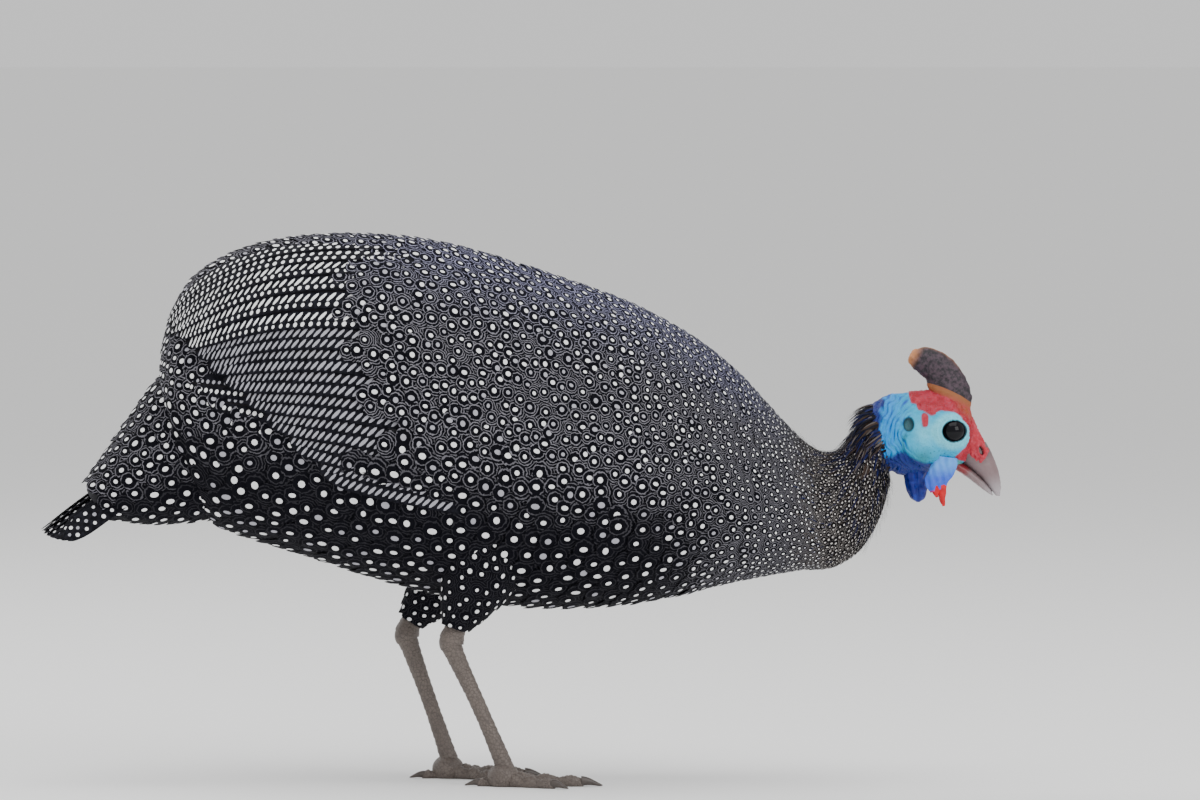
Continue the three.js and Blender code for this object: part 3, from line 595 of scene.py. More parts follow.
def layFeathers(surface, strewn, options, seed):
    # Lay one card at each strewn place, bent onto the surface, its tip pointing back.
    place, turn, gap = strewn
    draw = np.random.default_rng(seed)
    (card, faces, white), spotAt, spotLong = featherCard(options["fine"])
    count = len(place)
    length = gap * options["length"] * draw.uniform(0.92, 1.08, count)
    half = gap * options["half"] * draw.uniform(0.93, 1.07, count)
    spotScale = options["spot"] * draw.uniform(0.66, 0.98, count)
    stretch = draw.uniform(0.88, 1.2, count)
    twist = draw.normal(0, options["twist"], count)
    lift = draw.uniform(0, 1, count)
    across = card[:, 0][None, :] * half[:, None]
    along = (card[:, 1][None, :] - spotAt) * length[:, None]
    onSpot = np.zeros(len(card), bool)
    onSpot[np.unique(faces[white == 1])] = True
    across = np.where(onSpot[None, :], across * (spotScale / stretch)[:, None], across)
    along = np.where(onSpot[None, :], along * (spotScale * stretch)[:, None], along)
    cos, sin = np.cos(twist)[:, None], np.sin(twist)[:, None]
    across, along = across * cos - along * sin, across * sin + along * cos
    ahead, round_ = surface.slopes(place, turn)
    aheadSize = np.linalg.norm(ahead, axis=-1)
    roundSize = np.maximum(np.linalg.norm(round_, axis=-1), 4 * mm)
    toPlace = np.maximum(place[:, None] - along / aheadSize[:, None], 0.03)
    toTurn = turn[:, None] + across / roundSize[:, None]
    share = card[:, 1][None, :]
    size = gap[:, None]
    rise = options["root"] + (options["tip"] - options["root"]) * share ** 0.8
    height = rise * size + lift[:, None] * 0.07 * size * share
    height = height - 0.16 * size * (card[:, 0][None, :]) ** 2 * share  # the sides hang
    height = height - 0.14 * size * np.clip(share - 0.8, 0, 1) ** 2 * 12.5  # and the tip bends down
    if "lift" in options:
        height = height + options["lift"](toPlace, toTurn)
    points = surface.point(toPlace, toTurn, height)
    spotRadius = (spotLong * length * spotScale)[:, None]
    quill = np.stack([across / spotRadius, along / spotRadius], -1)
    bake = bakeSpot(place, turn, max(surface.last, 1))[:, None, :]
    bake = bake + 0.003 * np.stack([card[:, 0] / 2, card[:, 1] - 0.5], -1)[None]
    return points, faces, white, quill, bake


def coatPiece(name, surface, strewn, options, marks, finishes, slots, seed, sideways=0.0):
    points, faces, white, quill, bake = layFeathers(surface, strewn, options, seed)
    points[..., 1] += sideways
    count, size = points.shape[:2]
    return makePiece(
        name,
        points.reshape(-1, 3),
        repeatFaces(faces, count, size),
        finishes,
        slots=(slots[:, None] * white[None]).ravel(),
        uvs={"quill": quill.reshape(-1, 2), "OFBake": bake.reshape(-1, 2)},
        marks={key: np.repeat(value, size) for key, value in marks.items()},
        slot="plumage",
    )


def layCoat():
    coat = {
        "length": 3.0,  # this and the next four in spacings
        "half": 1.0,
        "root": -0.35,
        "tip": 0.32,
        "spot": 1.0,
        "twist": 0.12,
        "lift": wingRise,
    }
    regions = {
        "mantleFrom": 9,
        "neckFrom": 11.6,
        "palestFrom": 12.6,
        "bellyBelow": 90,
        "smallGap": 4.4 * mm,
        "dimShare": 0.3,
    }

    def keep(place, turn):
        angle = downAngle(turn)
        tips = np.interp(angle, *wing["tips"]) + 0.3
        edge = np.interp(angle, *wing["front"]) + 0.25 * np.sin(angle * 0.42)
        bare = (angle > wing["span"][0]) & (angle < wing["span"][1]) & (place > tips) & (place < edge)
        return np.where(bare, 0.0, 1.0)

    strewn = scatter(body, coatSpacing, (0.25, 16.55), keep, 11, 52000)
    place, turn, gap = strewn
    print("small feathers:", len(place))
    angle = downAngle(turn)
    lowSide = smooth(angle, 88, 125)
    marks = {
        "grey": np.clip(1.0 - 0.9 * lowSide * (1 - smooth(place, 8.5, 10.5)), 0.05, 1),
        # painted sheen on the upper back, where light glints on the feathers
        "sheen": smooth(place, 3, 6.5) * (1 - smooth(place, 10, 12)) * (1 - smooth(angle, 12, 62)),
        "brown": smooth(place, 11.3, 13.2),
    }
    dim = np.random.default_rng(12).uniform(0, 1, len(place)) < regions["dimShare"]
    slots = np.where(place > regions["palestFrom"], 3, np.where(dim, 2, 1))
    large = (place < regions["mantleFrom"]) & (gap > regions["smallGap"])
    neck = place >= regions["neckFrom"]
    parts = {
        "coatBack": large & (angle < regions["bellyBelow"]),
        "coatBelly": large & (angle >= regions["bellyBelow"]),
        "coatMantle": ~large & ~neck,
        "coatNeck": neck,
    }
    for number, (name, chosen) in enumerate(parts.items()):
        options = dict(coat, fine=name in ("coatBack", "coatBelly"))
        if name == "coatNeck":  # longer and looser towards the head
            loose = smooth(place[chosen], 11.8, 14.4)
            options.update(
                length=3.0 + 0.5 * loose,
                half=1.0 - 0.2 * loose,
                tip=(0.32 + 0.45 * loose)[:, None],
                spot=1.0 + 0.25 * loose,
                twist=0.12 + 0.2 * loose,
            )
        values = {key: value[chosen] for key, value in marks.items()}
        picked = [value[chosen] for value in strewn]
        finishes = [coatDark, coatSpot, dimSpot, neckMark]
        piece = coatPiece(name, body, picked, options, values, finishes, slots[chosen], 20 + number)
        print(name, len(piece.data.polygons))


layCoat()


# Skin of the body, neck and head

head = {
    "eye": (251.0, 204.4),
    "eyeY": 9.6,
    "eyeRadius": 7.6,
    "lidOpen": (6.5, 5.7),  # half width and half height of the open eye
    "ear": (225.2, 208.4),
    "earSize": (2.9, 3.7),
    "folds": (238, 203.5),  # the middle that the folds behind the cheek run round
    "foldStep": 2.7,
    "crease": (236, 196.5),  # the furrow behind the cheek is part of a circle
    "creaseSize": (1.05, 1),
    "creaseRadius": 13.2,
    "redPatch": (234.8, 210.3),
    "cyan": (0.008, 0.38, 0.62),
    "pale": (0.16, 0.64, 0.80),
    # teal: the lower cheek's greenish tone, darkened as painted shade under the cheek and along the crease
    # behind it
    "teal": (0.01, 0.20, 0.26),
    "sky": (0.0, 0.25, 0.72),
    # painted shade: darker blue in the troughs of the folds behind the cheek
    "furrow": (0.0, 0.07, 0.42),
    "stipple": (0.0, 0.09, 0.14),
    "cobalt": (0.002, 0.010, 0.17),
    "crimson": (0.33, 0.002, 0.013),
    "pink": (0.47, 0.022, 0.055),
    "orange": (0.30, 0.075, 0.008),
    "green": (0.10, 0.36, 0.30),
    "earSkin": (0.06, 0.16, 0.19),
    "dark": (0.006, 0.007, 0.014),
}


def redEdge(x, z):  # how far a point lies inside the red skin of crown and brow, in mm
    ex, ez = head["eye"]
    away = np.hypot(x - ex, z - ez)
    angle = np.degrees(np.arctan2(z - ez, x - ex))
    edge = np.interp(
        angle,
        [-90, -85, -64, -31, 0, 30, 53, 70, 88, 114, 130, 140],
        [17, 14.8, 11.7, 9.4, 8.4, 8.3, 8.4, 9.4, 10.8, 12.8, 14.6, 16.2],
    )
    ahead = np.where((angle > -90) & (angle < 142), away - edge, -9.0)
    crown = z - np.interp(
        x,
        [222, 225.5, 226.5, 229.8, 231, 237.6, 242],
        [236, 228, 220.5, 218.8, 216.3, 213.8, 214.6],
    )
    inside = np.where(x < 241, crown, ahead)
    gape = z - np.interp(x, [248, 252.3, 256, 262], [192, 189.4, 187.4, 185.2])
    return np.where(x > 249, np.minimum(inside, gape), inside)


def redPatch(x, z, wide, tall):  # the small red patch behind the eye: 1 on its edge
    ax, az = head["redPatch"]
    return (np.abs((x - ax) / wide) ** 3 + np.abs((z - az) / tall) ** 3) ** (1 / 3)


def headPlaces(points):  # what shape and colour of the head go by
    x, y, z = (points[..., k] / mm for k in range(3))
    eye = apart(x, z, head["eye"], head["lidOpen"])  # 1 on the edge of the open eye
    ear = apart(x, z, head["ear"], head["earSize"])
    crease = apart(x, z, head["crease"], head["creaseSize"]) - head["creaseRadius"]
    ring = apart(x, z, head["folds"])
    wave = (ring + 0.5 * np.sin(z * 0.21) + 0.9 * ripple(points / mm, 11, 6)) * fullTurn
    return x, y, z, eye, ear, crease, ring, wave


def headShape(points):  # how far the head's skin stands out, in mm, from each point of its plain form
    x, y, z, eye, ear, crease, ring, wave = headPlaces(points)
    side = smooth(np.abs(y), 3, 8)
    around = np.arctan2(z - head["eye"][1], x - head["eye"][0])
    out = np.interp(
        eye,
        [0, 0.86, 0.94, 1.02, 1.14, 1.3, 1.55, 1.8, 2.2],
        [-4, -3.2, 0.6, 2.5, 2.7, 2.2, 1.7, 0.7, 0],
    )
    out += 0.14 * np.sin(around * 31 + 2 * eye) * smooth(eye, 1.1, 1.3) * (1 - smooth(eye, 1.6, 2.0))
    out += 0.3 * bell((eye - 1.46) / 0.06) - 0.35 * bell((eye - 1.33) / 0.04)
    out += np.interp(ear, [0, 0.6, 0.95, 1.15, 1.5, 2.0], [-3.2, -2.6, 0.1, 1.1, 0.5, 0])
    out += 3.0 * (1 - smooth(apart(x, z, (234.5, 192.5), (10.5, 9.5)), 0.35, 1.1))  # the cheek
    out -= 1.1 * bell(crease) * (x < 232) * (1 - smooth(z, 199, 205))
    lift = out * side
    behind = smooth(ring, 12.5, 16) * (1 - smooth(x, 224, 233)) * smooth(np.abs(y), 1.5, 6)
    folds = 0.42 * np.sin(wave / head["foldStep"]) + 0.3 * np.sin(wave / 1.5 + z * 0.3)
    lift += behind * smooth(ear, 1.5, 2.3) * folds
    red = smooth(redEdge(x, z), -0.4, 0.8)
    lift += red * (0.45 + 0.2 * ripple(points / mm, 2.8, 5) + 0.12 * ripple(points / mm, 1.3, 15))
    brow = x - (261.2 + 0.12 * (z - 206))
    lift -= 0.9 * side * bell(brow / 0.8) * smooth(z, 197, 201) * (1 - smooth(z, 211, 215))
    lift += side * 0.8 * (1 - smooth(redPatch(x, z, 2.3, 4.4), 0.75, 1.15))
    lift += 0.10 * ripple(points / mm, 1.4, 8) + 0.2 * ripple(points / mm, 5, 9)
    gape = (z - np.interp(x, [246, 252, 256, 262], [188.6, 187.4, 185.4, 181.6])) / 0.8
    lift -= 1.1 * side * bell(gape) * smooth(x, 248, 251)
    return lift


def makeSkinFinish():
    finish = Finish("bareSkin", head["cyan"], 0.48, Specular_IOR_Level=0.35)
    place = finish.place()
    cloud = finish.noise(place, 260.0, 4.0)
    fine = finish.noise(place, 1500.0, 3.0)
    colour = finish.mix(finish.frayed("sky", cloud, 0.5), head["cyan"], head["sky"])
    colour = finish.mix(finish.frayed("pale", cloud, 0.4), colour, head["pale"])
    # painted shade: the teal mark darkens the underside of the cheek and the crease behind it
    colour = finish.mix(finish.clamp(finish.attribute("teal") * (cloud + 0.5)), colour, head["teal"])
    # painted shade in the troughs of the folds
    colour = finish.mix(finish.frayed("furrow", cloud, 0.3), colour, head["furrow"])
    for mark in ("cobalt", "earSkin", "green"):
        colour = finish.mix(finish.attribute(mark), colour, head[mark])
    red = finish.mix(finish.step(cloud, 0.35, 0.7), head["crimson"], head["pink"])
    red = finish.mix(finish.frayed("orange", cloud, 0.6), red, head["orange"])
    colour = finish.mix(finish.attribute("red"), colour, red)
    colour = finish.mix(finish.attribute("dark"), colour, head["dark"])
    dots = finish.cells(place, 620.0)
    speck = (1 - finish.step(dots, 0.16, 0.34)) * finish.attribute("stipple") * 0.75
    colour = finish.mix(speck, colour, head["stipple"])
    finish.feed("Base Color", finish.mix(finish.step(fine, 0.50, 0.75) * 0.35, colour, head["teal"]))
    finish.bump(finish.cells(place, 1100.0) * 0.6 + fine * 0.8 + cloud * 1.5, 0.6, 0.0005)
    return finish


def makeSkin():
    skin = {
        "columns": 208,
        "bodyRows": 66,
        "headRows": 230,
        "fineFrom": headFrom - 1.4,  # the rows stand closer from here on
        "bareFrom": headFrom - 1.1,
        "sunk": 1.6 * mm,  # how far the skin lies under the feathers
    }
    bodyPlaces = np.linspace(0.02, skin["fineFrom"], skin["bodyRows"])
    places = np.append(bodyPlaces, np.linspace(skin["fineFrom"], skinRow.last, skin["headRows"])[1:])
    place, turn = ringGrid(places, skin["columns"])
    turn = np.where(turn > math.pi, turn - fullTurn, turn)
    plain = skinRow.point(place, turn, wingRise(place, turn) - skin["sunk"] * (place < headFrom - 1.5))
    lift = headShape(plain) * mm * smooth(place, headFrom - 0.9, headFrom + 0.2)
    outward = skinRow.point(place, turn, np.ones_like(lift)) - skinRow.oval(place, turn)
    points = plain + outward * lift[..., None]

    x, y, z, eye, ear, crease, ring, wave = headPlaces(plain)
    wobble = ripple(plain / mm, 9, 31)
    red = smooth(redEdge(x, z) + 0.5 * wobble, -0.35, 0.35)
    red = np.maximum(red, 1 - smooth(redPatch(x, z, 2.2, 4.2) + 0.12 * wobble, 0.85, 1.05))
    wave = wave / head["foldStep"]
    # painted shade under the cheek's bulge and in the crease behind it, over the cheek's greenish tone
    lowCheekShade = bell(apart(x, z, (233, 189.5), (6.5, 4.6)))
    creaseShade = bell(crease / 1.3) * (x < 232) * (z < 203)
    low = z - np.interp(x, [206, 212, 219, 226, 238, 244], [183, 189, 193, 190, 186.5, 184]) + 0.7 * wobble
    rear = x - np.interp(z, [178, 200, 226], [212, 206.5, 211]) + 0.9 * ripple(plain / mm, 6, 33)
    # painted shade in the troughs of the folds, where the shape's folds sink lowest
    furrow = (0.5 - 0.5 * np.sin(wave)) ** 3 * (0.6 + 0.4 * ripple(plain / mm, 7, 34))
    temple = bell(apart(x, z, (235, 204), (6, 7)))
    # the lids' own dark rim round the open eye, with painted shade where the lids turn in towards the eye
    lidRimAndShade = 1 - smooth(np.abs(eye - 0.98), 0.05, 0.12)
    marks = {
        "red": red,
        "orange": smooth(x + 0.4 * (z - 219), 250, 261) * smooth(z, 206, 219),
        "pale": np.clip(0.9 * (1 - smooth(eye, 1.5, 2.2)) + 0.75 * temple, 0, 1),
        "teal": np.clip(0.85 * lowCheekShade + 0.75 * creaseShade, 0, 1),
        "sky": (1 - smooth(x, 213, 229)) * (0.725 + 0.275 * np.sin(wave + 0.4)),
        "furrow": 0.95 * furrow * smooth(ring, 12.5, 16) * (1 - smooth(x, 222, 231)),
        "stipple": np.clip(1.3 * bell(apart(x, z, (240, 191), (9, 6.5))), 0, 1) * (1 - red),
        "cobalt": np.maximum(
            (1 - smooth(low, -1.3, 1.6)) * (1 - smooth(x, 241, 245)),
            1 - smooth(rear, -0.6, 2.6),
        ),
        "earSkin": 1 - smooth(ear, 0.9, 1.05),
        "green": (1 - smooth(apart(x, z, (254, 184.5), (4.0, 4.2)), 0.5, 1.1)) * 0.8,
        # dark: the lids' rim with its painted shade, and the ring round the ear
        "dark": np.maximum(lidRimAndShade * 0.95, bell((ear - 0.98) / 0.2) * 0.92),
    }
    under = Finish("downSkin", (0.02, 0.02, 0.024), 0.9)
    slots = np.repeat(places[:-1] < skin["bareFrom"], skin["columns"])
    slots = np.append(slots, [1, 0] * skin["columns"])
    piece = loftPiece(
        "skin", points, [makeSkinFinish(), under], slots=slots, marks=marks,
        node=("torso", "neck", "head"), slot="blue_skin",
    )
    print("skin", len(piece.data.polygons))


makeSkin()


# Eyes

def makeEyes():
    eye = {
        "pupil": (0.001, 0.001, 0.003),
        "iris": (0.006, 0.004, 0.006),
        "pupilSize": 0.0042,
    }
    finish = Finish("wetEye", eye["pupil"], 0.05, Specular_IOR_Level=0.2)
    place = finish.place()
    x, _, z = finish.split(place)
    x = x - head["eye"][0] * mm
    z = z - head["eye"][1] * mm
    away = finish.maths("SQRT", x * x + z * z)
    iris = finish.mix(finish.noise(place, 900.0, 2.0), eye["iris"], eye["pupil"])
    inIris = finish.step(away, eye["pupilSize"], eye["pupilSize"] + 0.0004)
    finish.feed("Base Color", finish.mix(inIris, eye["pupil"], iris))
    for side, name in ((1, "left"), (-1, "right")):
        ball = bmesh.new()
        bmesh.ops.create_uvsphere(ball, u_segments=48, v_segments=32, radius=head["eyeRadius"] * mm)
        mesh = bpy.data.meshes.new("eyeBall_" + name)
        ball.to_mesh(mesh)
        ball.free()
        points = np.empty(len(mesh.vertices) * 3)
        mesh.vertices.foreach_get("co", points)
        middle = np.array([head["eye"][0], side * head["eyeY"], head["eye"][1]]) * mm
        mesh.vertices.foreach_set("co", (points.reshape(-1, 3) + middle).ravel())
        mesh.materials.append(finish.material)
        mesh.shade_smooth()
        piece = addObject("eyeBall_" + name, mesh)
        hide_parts("eye_" + name)
        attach(piece, "root")


makeEyes()


# Casque, cere and bill

def loftChords(chords, rows, columns, shape):  # shape(points, place, turn) says how far the skin stands out
    surface = Surface(chords)
    place, turn = ringGrid(np.linspace(0, surface.last, rows), columns)
    points = surface.point(place, turn)
    return surface.point(place, turn, shape(points / mm, place, turn) * mm), place, turn


def makeCasque():
    casque = {
        "horn": (0.062, 0.036, 0.052),
        "dark": (0.006, 0.004, 0.008),
        "tip": (0.66, 0.26, 0.09),
        "tan": (0.27, 0.085, 0.022),
        "red": (0.42, 0.02, 0.04),
    }
    finish = Finish("casqueHorn", casque["horn"], 0.62)
    place = finish.place()
    grain = finish.noise(place, 420.0, 5.0, 0.65)
    streaks = finish.noise(place, 160.0, 3.0)
    colour = finish.mix(finish.step(grain, 0.36, 0.62), casque["horn"], casque["dark"])
    colour = finish.mix(finish.clamp(finish.attribute("rim") * (streaks + 0.35)), colour, casque["tip"])
    skin = finish.mix(finish.frayed("low", streaks, 0.6), casque["tan"], casque["red"])
    root = finish.step(finish.attribute("root") + (grain - 0.5) * 0.25, 0.4, 0.6)
    finish.feed("Base Color", finish.mix(root, colour, skin))
    finish.bump(grain, 0.7, 0.0006)

    def shape(p, place, turn):
        rough = 0.16 * ripple(p, 5.5, 41) + 0.1 * ripple(p, 1.8, 42)
        return rough + 0.12 * np.sin(p[..., 2] * 1.2 + p[..., 0] * 0.6) * smooth(place, 0.5, 2)

    points, place, turn = loftChords(casqueChords, 90, 72, shape)
    front = np.maximum(np.cos(turn), 0) ** 18
    share = 0.5 + np.cos(turn) / 2
    marks = {
        "rim": np.clip(0.5 * front * smooth(place, 3.2, 5) + smooth(place, 6.1, 7.4), 0, 1),
        "root": 1 - smooth(place + 1.5 * share, 2.75, 3.15),
        "low": 1 - smooth(place + 0.6 * share, 0.7, 2.2),
    }
    loftPiece("casqueBone", points, [finish], marks=marks, node=("casque",), slot="casque_horn")


def makeCere():
    cere = {
        "red": (0.42, 0.008, 0.025),
        "pink": (0.52, 0.05, 0.08),
        # painted shade: the hollows of the nostrils take this dark colour
        "dark": (0.02, 0.008, 0.01),
        "nostril": (267.6, 193.0),
        "nostrilSize": (1.25, 2.9),
        "nostrilTurn": math.radians(-18),
    }
    finish = Finish("cereSkin", cere["red"], 0.5, Subsurface_Weight=0.05, Subsurface_Scale=0.003)
    place = finish.place()
    cloud = finish.noise(place, 380.0, 4.0)
    colour = finish.mix(finish.step(cloud, 0.4, 0.75), cere["red"], cere["pink"])
    finish.feed("Base Color", finish.mix(finish.attribute("dark"), colour, cere["dark"]))
    finish.bump(cloud + finish.noise(place, 1400.0, 2.0) * 0.5, 0.6, 0.0004)

    def nostril(p):
        cos, sin = math.cos(cere["nostrilTurn"]), math.sin(cere["nostrilTurn"])
        dx, dz = p[..., 0] - cere["nostril"][0], p[..., 2] - cere["nostril"][1]
        return apart(dx * cos - dz * sin, dx * sin + dz * cos, (0, 0), cere["nostrilSize"])

    def shape(p, place, turn):
        side = smooth(np.abs(p[..., 1]), 2, 5)
        out = np.interp(nostril(p), [0, 0.7, 1.0, 1.5, 2.4], [-2.2, -1.8, 0.3, 1.3, 0]) * side
        folds = 0.35 * np.sin((p[..., 0] + p[..., 2] * 0.6) * 1.9)
        return out + folds * smooth(p[..., 2], 196, 200) + 0.2 * ripple(p, 2.4, 44)

    points = loftChords(cereChords, 72, 88, shape)[0]
    # painted shade in the nostrils' hollows
    dark = (1 - smooth(nostril(points / mm), 0.75, 1.15)) * smooth(np.abs(points[..., 1]), 3 * mm, 5 * mm)
    loftPiece("cereFolds", points, [finish], marks={"dark": dark}, node=("cere",), slot="red_skin")


def makeBill():
    bill = {
        "horn": (0.20, 0.135, 0.14),
        "tip": (0.36, 0.32, 0.34),
        "dark": (0.06, 0.042, 0.045),
        "red": (0.20, 0.012, 0.018),
    }
    finish = Finish("billHorn", bill["horn"], 0.36)
    streaks = finish.noise(finish.place(), 300.0, 4.0)
    colour = finish.mix(finish.attribute("tip"), bill["horn"], bill["tip"])
    colour = finish.mix(finish.frayed("dark", streaks, 0.5), colour, bill["dark"])
    finish.feed("Base Color", finish.mix(finish.attribute("root"), colour, bill["red"]))
    finish.bump(streaks, 0.25, 0.0003)

    def upper(p, place, turn):  # with a ridge along its top
        return 0.08 * ripple(p, 3.0, 47) + 0.5 * np.maximum(np.cos(turn), 0) ** 8

    def lower(p, place, turn):  # raised on top, to meet the upper one
        top = np.maximum(np.cos(turn), 0) ** 1.5
        return 0.08 * ripple(p, 3.0, 48) + 1.5 * top * smooth(5 - place, 0, 1.2)

    halves = (
        ("upperMandible", upperBillChords, upper, -1, "bill_upper"),
        ("lowerMandible", lowerBillChords, lower, 1, "bill_lower"),
    )
    for name, chords, shape, facing, node in halves:
        points, place, turn = loftChords(chords, 70, 56, shape)
        edge = np.clip(facing * np.cos(turn), 0, 1) ** 3
        marks = {
            "tip": smooth(place, 2.6, 4.6),
            "dark": np.clip(edge * 0.9 + 0.4 * (1 - smooth(place, 1.0, 2.0)), 0, 1),
            "root": (1 - smooth(place, 1.5, 2.2)) * (node == "bill_lower"),
        }
        loftPiece(name, points, [finish], marks=marks, node=(node,), slot="bill_horn")


makeCasque()
makeCere()
makeBill()
print("head pieces made")


# Wattles and throat fold

def flapRings(row, rows, columns, sideways, seed, ripples=0.3):  # a hanging flap of skin, in mm
    surface = Surface(row)
    place, turn = ringGrid(np.linspace(0, surface.last, rows), columns)
    points = surface.oval(place, turn) / mm
    points[..., 1] += sideways(points[..., 2])
    waves = np.sin(points[..., 0] * 1.5 + points[..., 2] * 0.35)
    points[..., 1] += ripples * (waves + ripple(points, 6, seed))
    points[..., 0] += 0.18 * ripple(points, 5, seed + 1)
    return points, place / surface.last


def makeWattles():
    wattle = {
        "blue": (0.035, 0.10, 0.62),
        "light": (0.09, 0.34, 0.84),
        "scarlet": (0.62, 0.002, 0.006),
        "scarletDark": (0.42, 0.004, 0.01),
        "cobalt": (0.002, 0.009, 0.18),
        "cobaltLight": (0.008, 0.04, 0.36),
        "apart": 13.4,  # from the middle of the head, at the lower end
        "inward": 2.6,  # how much nearer the middle the upper end is
    }
    finish = Finish("wattleSkin", wattle["blue"], 0.4, Specular_IOR_Level=0.35)
    place = finish.place()
    cloud = finish.noise(place, 300.0, 4.0)
    colour = finish.mix(finish.frayed("light", cloud, 0.8), wattle["blue"], wattle["light"])
    finish.feed("Base Color", finish.mix(finish.attribute("red"), colour, wattle["scarlet"]))
    finish.bump(cloud + finish.noise(place, 1300.0, 2.0) * 0.4, 0.45, 0.0003)
    scarlet = Finish("wattleTip", wattle["scarlet"], 0.38, Specular_IOR_Level=0.35)
    grain = scarlet.noise(scarlet.place(), 500.0, 4.0)
    colour = scarlet.mix(scarlet.step(grain, 0.3, 0.8), wattle["scarlet"], wattle["scarletDark"])
    scarlet.feed("Base Color", colour)
    scarlet.bump(grain, 0.4, 0.0003)
    for side, name in ((1, "left"), (-1, "right")):
        def sideways(z):
            return side * (wattle["apart"] - wattle["inward"] * smooth(z, 166, 190))
        points, share = flapRings(wattleRow, 72, 60, sideways, 51)
        marks = {"red": smooth(share, 0.9, 0.99) * 0.8, "light": 1 - smooth(share, 0.1, 0.6)}
        node = ("wattle_" + name,)
        loftPiece("wattleFlap_" + name, points * mm, [finish], marks=marks, node=node, slot="wattle_skin")
        for number, row in enumerate(wattleTipRows):
            points, share = flapRings(row, 30, 36, sideways, 55 + number, 0.15)
            loftPiece(f"wattleTip_{name}_{number}", points * mm, [scarlet], slot="red_skin")
    fold = Finish("throatSkin", wattle["cobalt"], 0.45, Specular_IOR_Level=0.35)
    cloud = fold.noise(fold.place(), 320.0, 4.0)
    fold.feed("Base Color", fold.mix(fold.step(cloud, 0.4, 0.8), wattle["cobalt"], wattle["cobaltLight"]))
    fold.bump(cloud, 0.5, 0.0005)
    points, share = flapRings(throatRow, 80, 90, lambda z: 0, 61)
    crease = bell((points[..., 0] - 228.5 - 3.5 * share) / 1.1) * (1 - smooth(share, 0.6, 0.85))
    points[..., 1] *= 1 - 0.28 * crease
    loftPiece("throatSkinFold", points * mm, [fold], node=("throat_fold",), slot="wattle_skin")


makeWattles()


# Flight feathers

def makeVaneFinish():
    vane = {"dark": (0.0022, 0.0022, 0.0045), "light": (0.012, 0.012, 0.018), "shaft": (0.010, 0.008, 0.009)}
    finish = Finish("vaneDark", vane["dark"], 0.75, Specular_IOR_Level=0.1)
    quill = finish.uv("quill")
    across, along, _ = finish.split(quill)
    slant = finish.maths("ABSOLUTE", across)
    streak = finish.noise(quill, 0.35, 2.0)
    colour = finish.mix(finish.step(streak, 0.35, 0.75), vane["dark"], vane["light"])
    shaft = 1 - finish.step(slant, 0.2, 0.45)
    finish.feed("Base Color", finish.mix(shaft * 0.8, colour, vane["shaft"]))
    finish.bump(finish.maths("SINE", (along + slant * 1.1) * 7.0) * 0.5 + shaft, 0.25, 0.0003)
    return finish


vaneDark = makeVaneFinish()


def markRow(at, size, lean, pitch, slot):  # pale marks along a vane, at a share of the way to its edge
    return {"at": at, "size": size, "lean": lean, "pitch": pitch, "slot": slot}


def vaneCard(length, half, seed, rows, blunt=0.55):  # a long feather in mm, with rows of pale marks
    draw = np.random.default_rng(seed)
    border = 3  # kept free of marks at both ends
    fillGap = 4.4

    def width(t):
        if t < blunt:
            return half * (0.93 + 0.07 * t / blunt)
        return half * math.sqrt(max(1 - ((t - blunt) / (1 - blunt)) ** 3, 0))

    steps = max(int(length / 4.5), 6)
    shares = list(np.linspace(0, 0.93, steps)) + [0.96, 0.985]
    right = [(width(t), t * length) for t in shares]
    outline = right + [(0.0, length)] + [(-x, y) for x, y in reversed(right)]
    spots = []
    slots = []
    for row in rows:
        long, thin = row["size"]
        cos, sin = math.cos(row["lean"]), math.sin(row["lean"])
        y = border + draw.uniform(0, row["pitch"])
        while y < length - border:
            edge = width(min(y + 0.6 * long, length * 0.999) / length)
            middle = (row["at"] * min(edge, half), y + draw.uniform(-0.15, 0.15))
            room = (edge - abs(middle[0]) - 0.4) / (long * cos)
            scale = min(draw.uniform(0.86, 1.1) * (1 - 0.2 * y / length), room)
            if scale > 0.4 and y + long * scale * sin < length - 0.8:
                ring = []
                for k in range(8):
                    a = fullTurn * k / 8
                    u, v = long * scale * math.cos(a), thin * scale * math.sin(a)
                    ring.append((middle[0] + u * cos - v * sin, middle[1] + u * sin + v * cos))
                spots.append(ring)
                slots.append(row["slot"])
            y += row["pitch"] * (1 - 0.12 * y / length) * draw.uniform(0.97, 1.03)
    centres = np.array([np.mean(spot, 0) for spot in spots])
    fill = []
    y = 4.0
    while y < length - 5:
        for x in (-0.6, -0.2, 0.2, 0.6):
            if np.hypot(*(centres - (x * half, y)).T).min() > fillGap:
                fill.append((x * half, y))
        y += 7.0
    return cutCard(outline, spots, fill, slots)


def layVane(surface, side, start, end, half, length, tilt, rows, seed):
    # Bend a long feather onto a surface, from one [place, degrees, height] to another.
    settled = 0.45  # the share of its length over which it comes to its height
    card, faces, white = vaneCard(length, half, seed, rows)
    t = card[:, 1] / length
    across = card[:, 0]
    place = start[0] + (end[0] - start[0]) * t
    turn = np.radians(start[1] + (end[1] - start[1]) * t)
    height = start[2] + (end[2] - start[2]) * np.minimum(t / settled, 1)
    height = height + tilt * (across / half + 1) / 2 + 0.12 * bell(across / 0.8)  # with its shaft raised
    height = height - 0.5 * np.clip((t - 0.85) / 0.15, 0, 1) ** 2
    _, round_ = surface.slopes(place, turn)
    turn = turn + across * mm / np.maximum(np.linalg.norm(round_, axis=-1), 12 * mm)
    points = surface.point(place, turn, height * mm)
    points[:, 1] *= side
    root = np.array([start[0] / surface.last, (side * math.radians(start[1]) / fullTurn) % 1])
    bake = root + 0.003 * np.stack([across / half / 2, t - 0.5], -1)
    return points, faces, white, card, bake


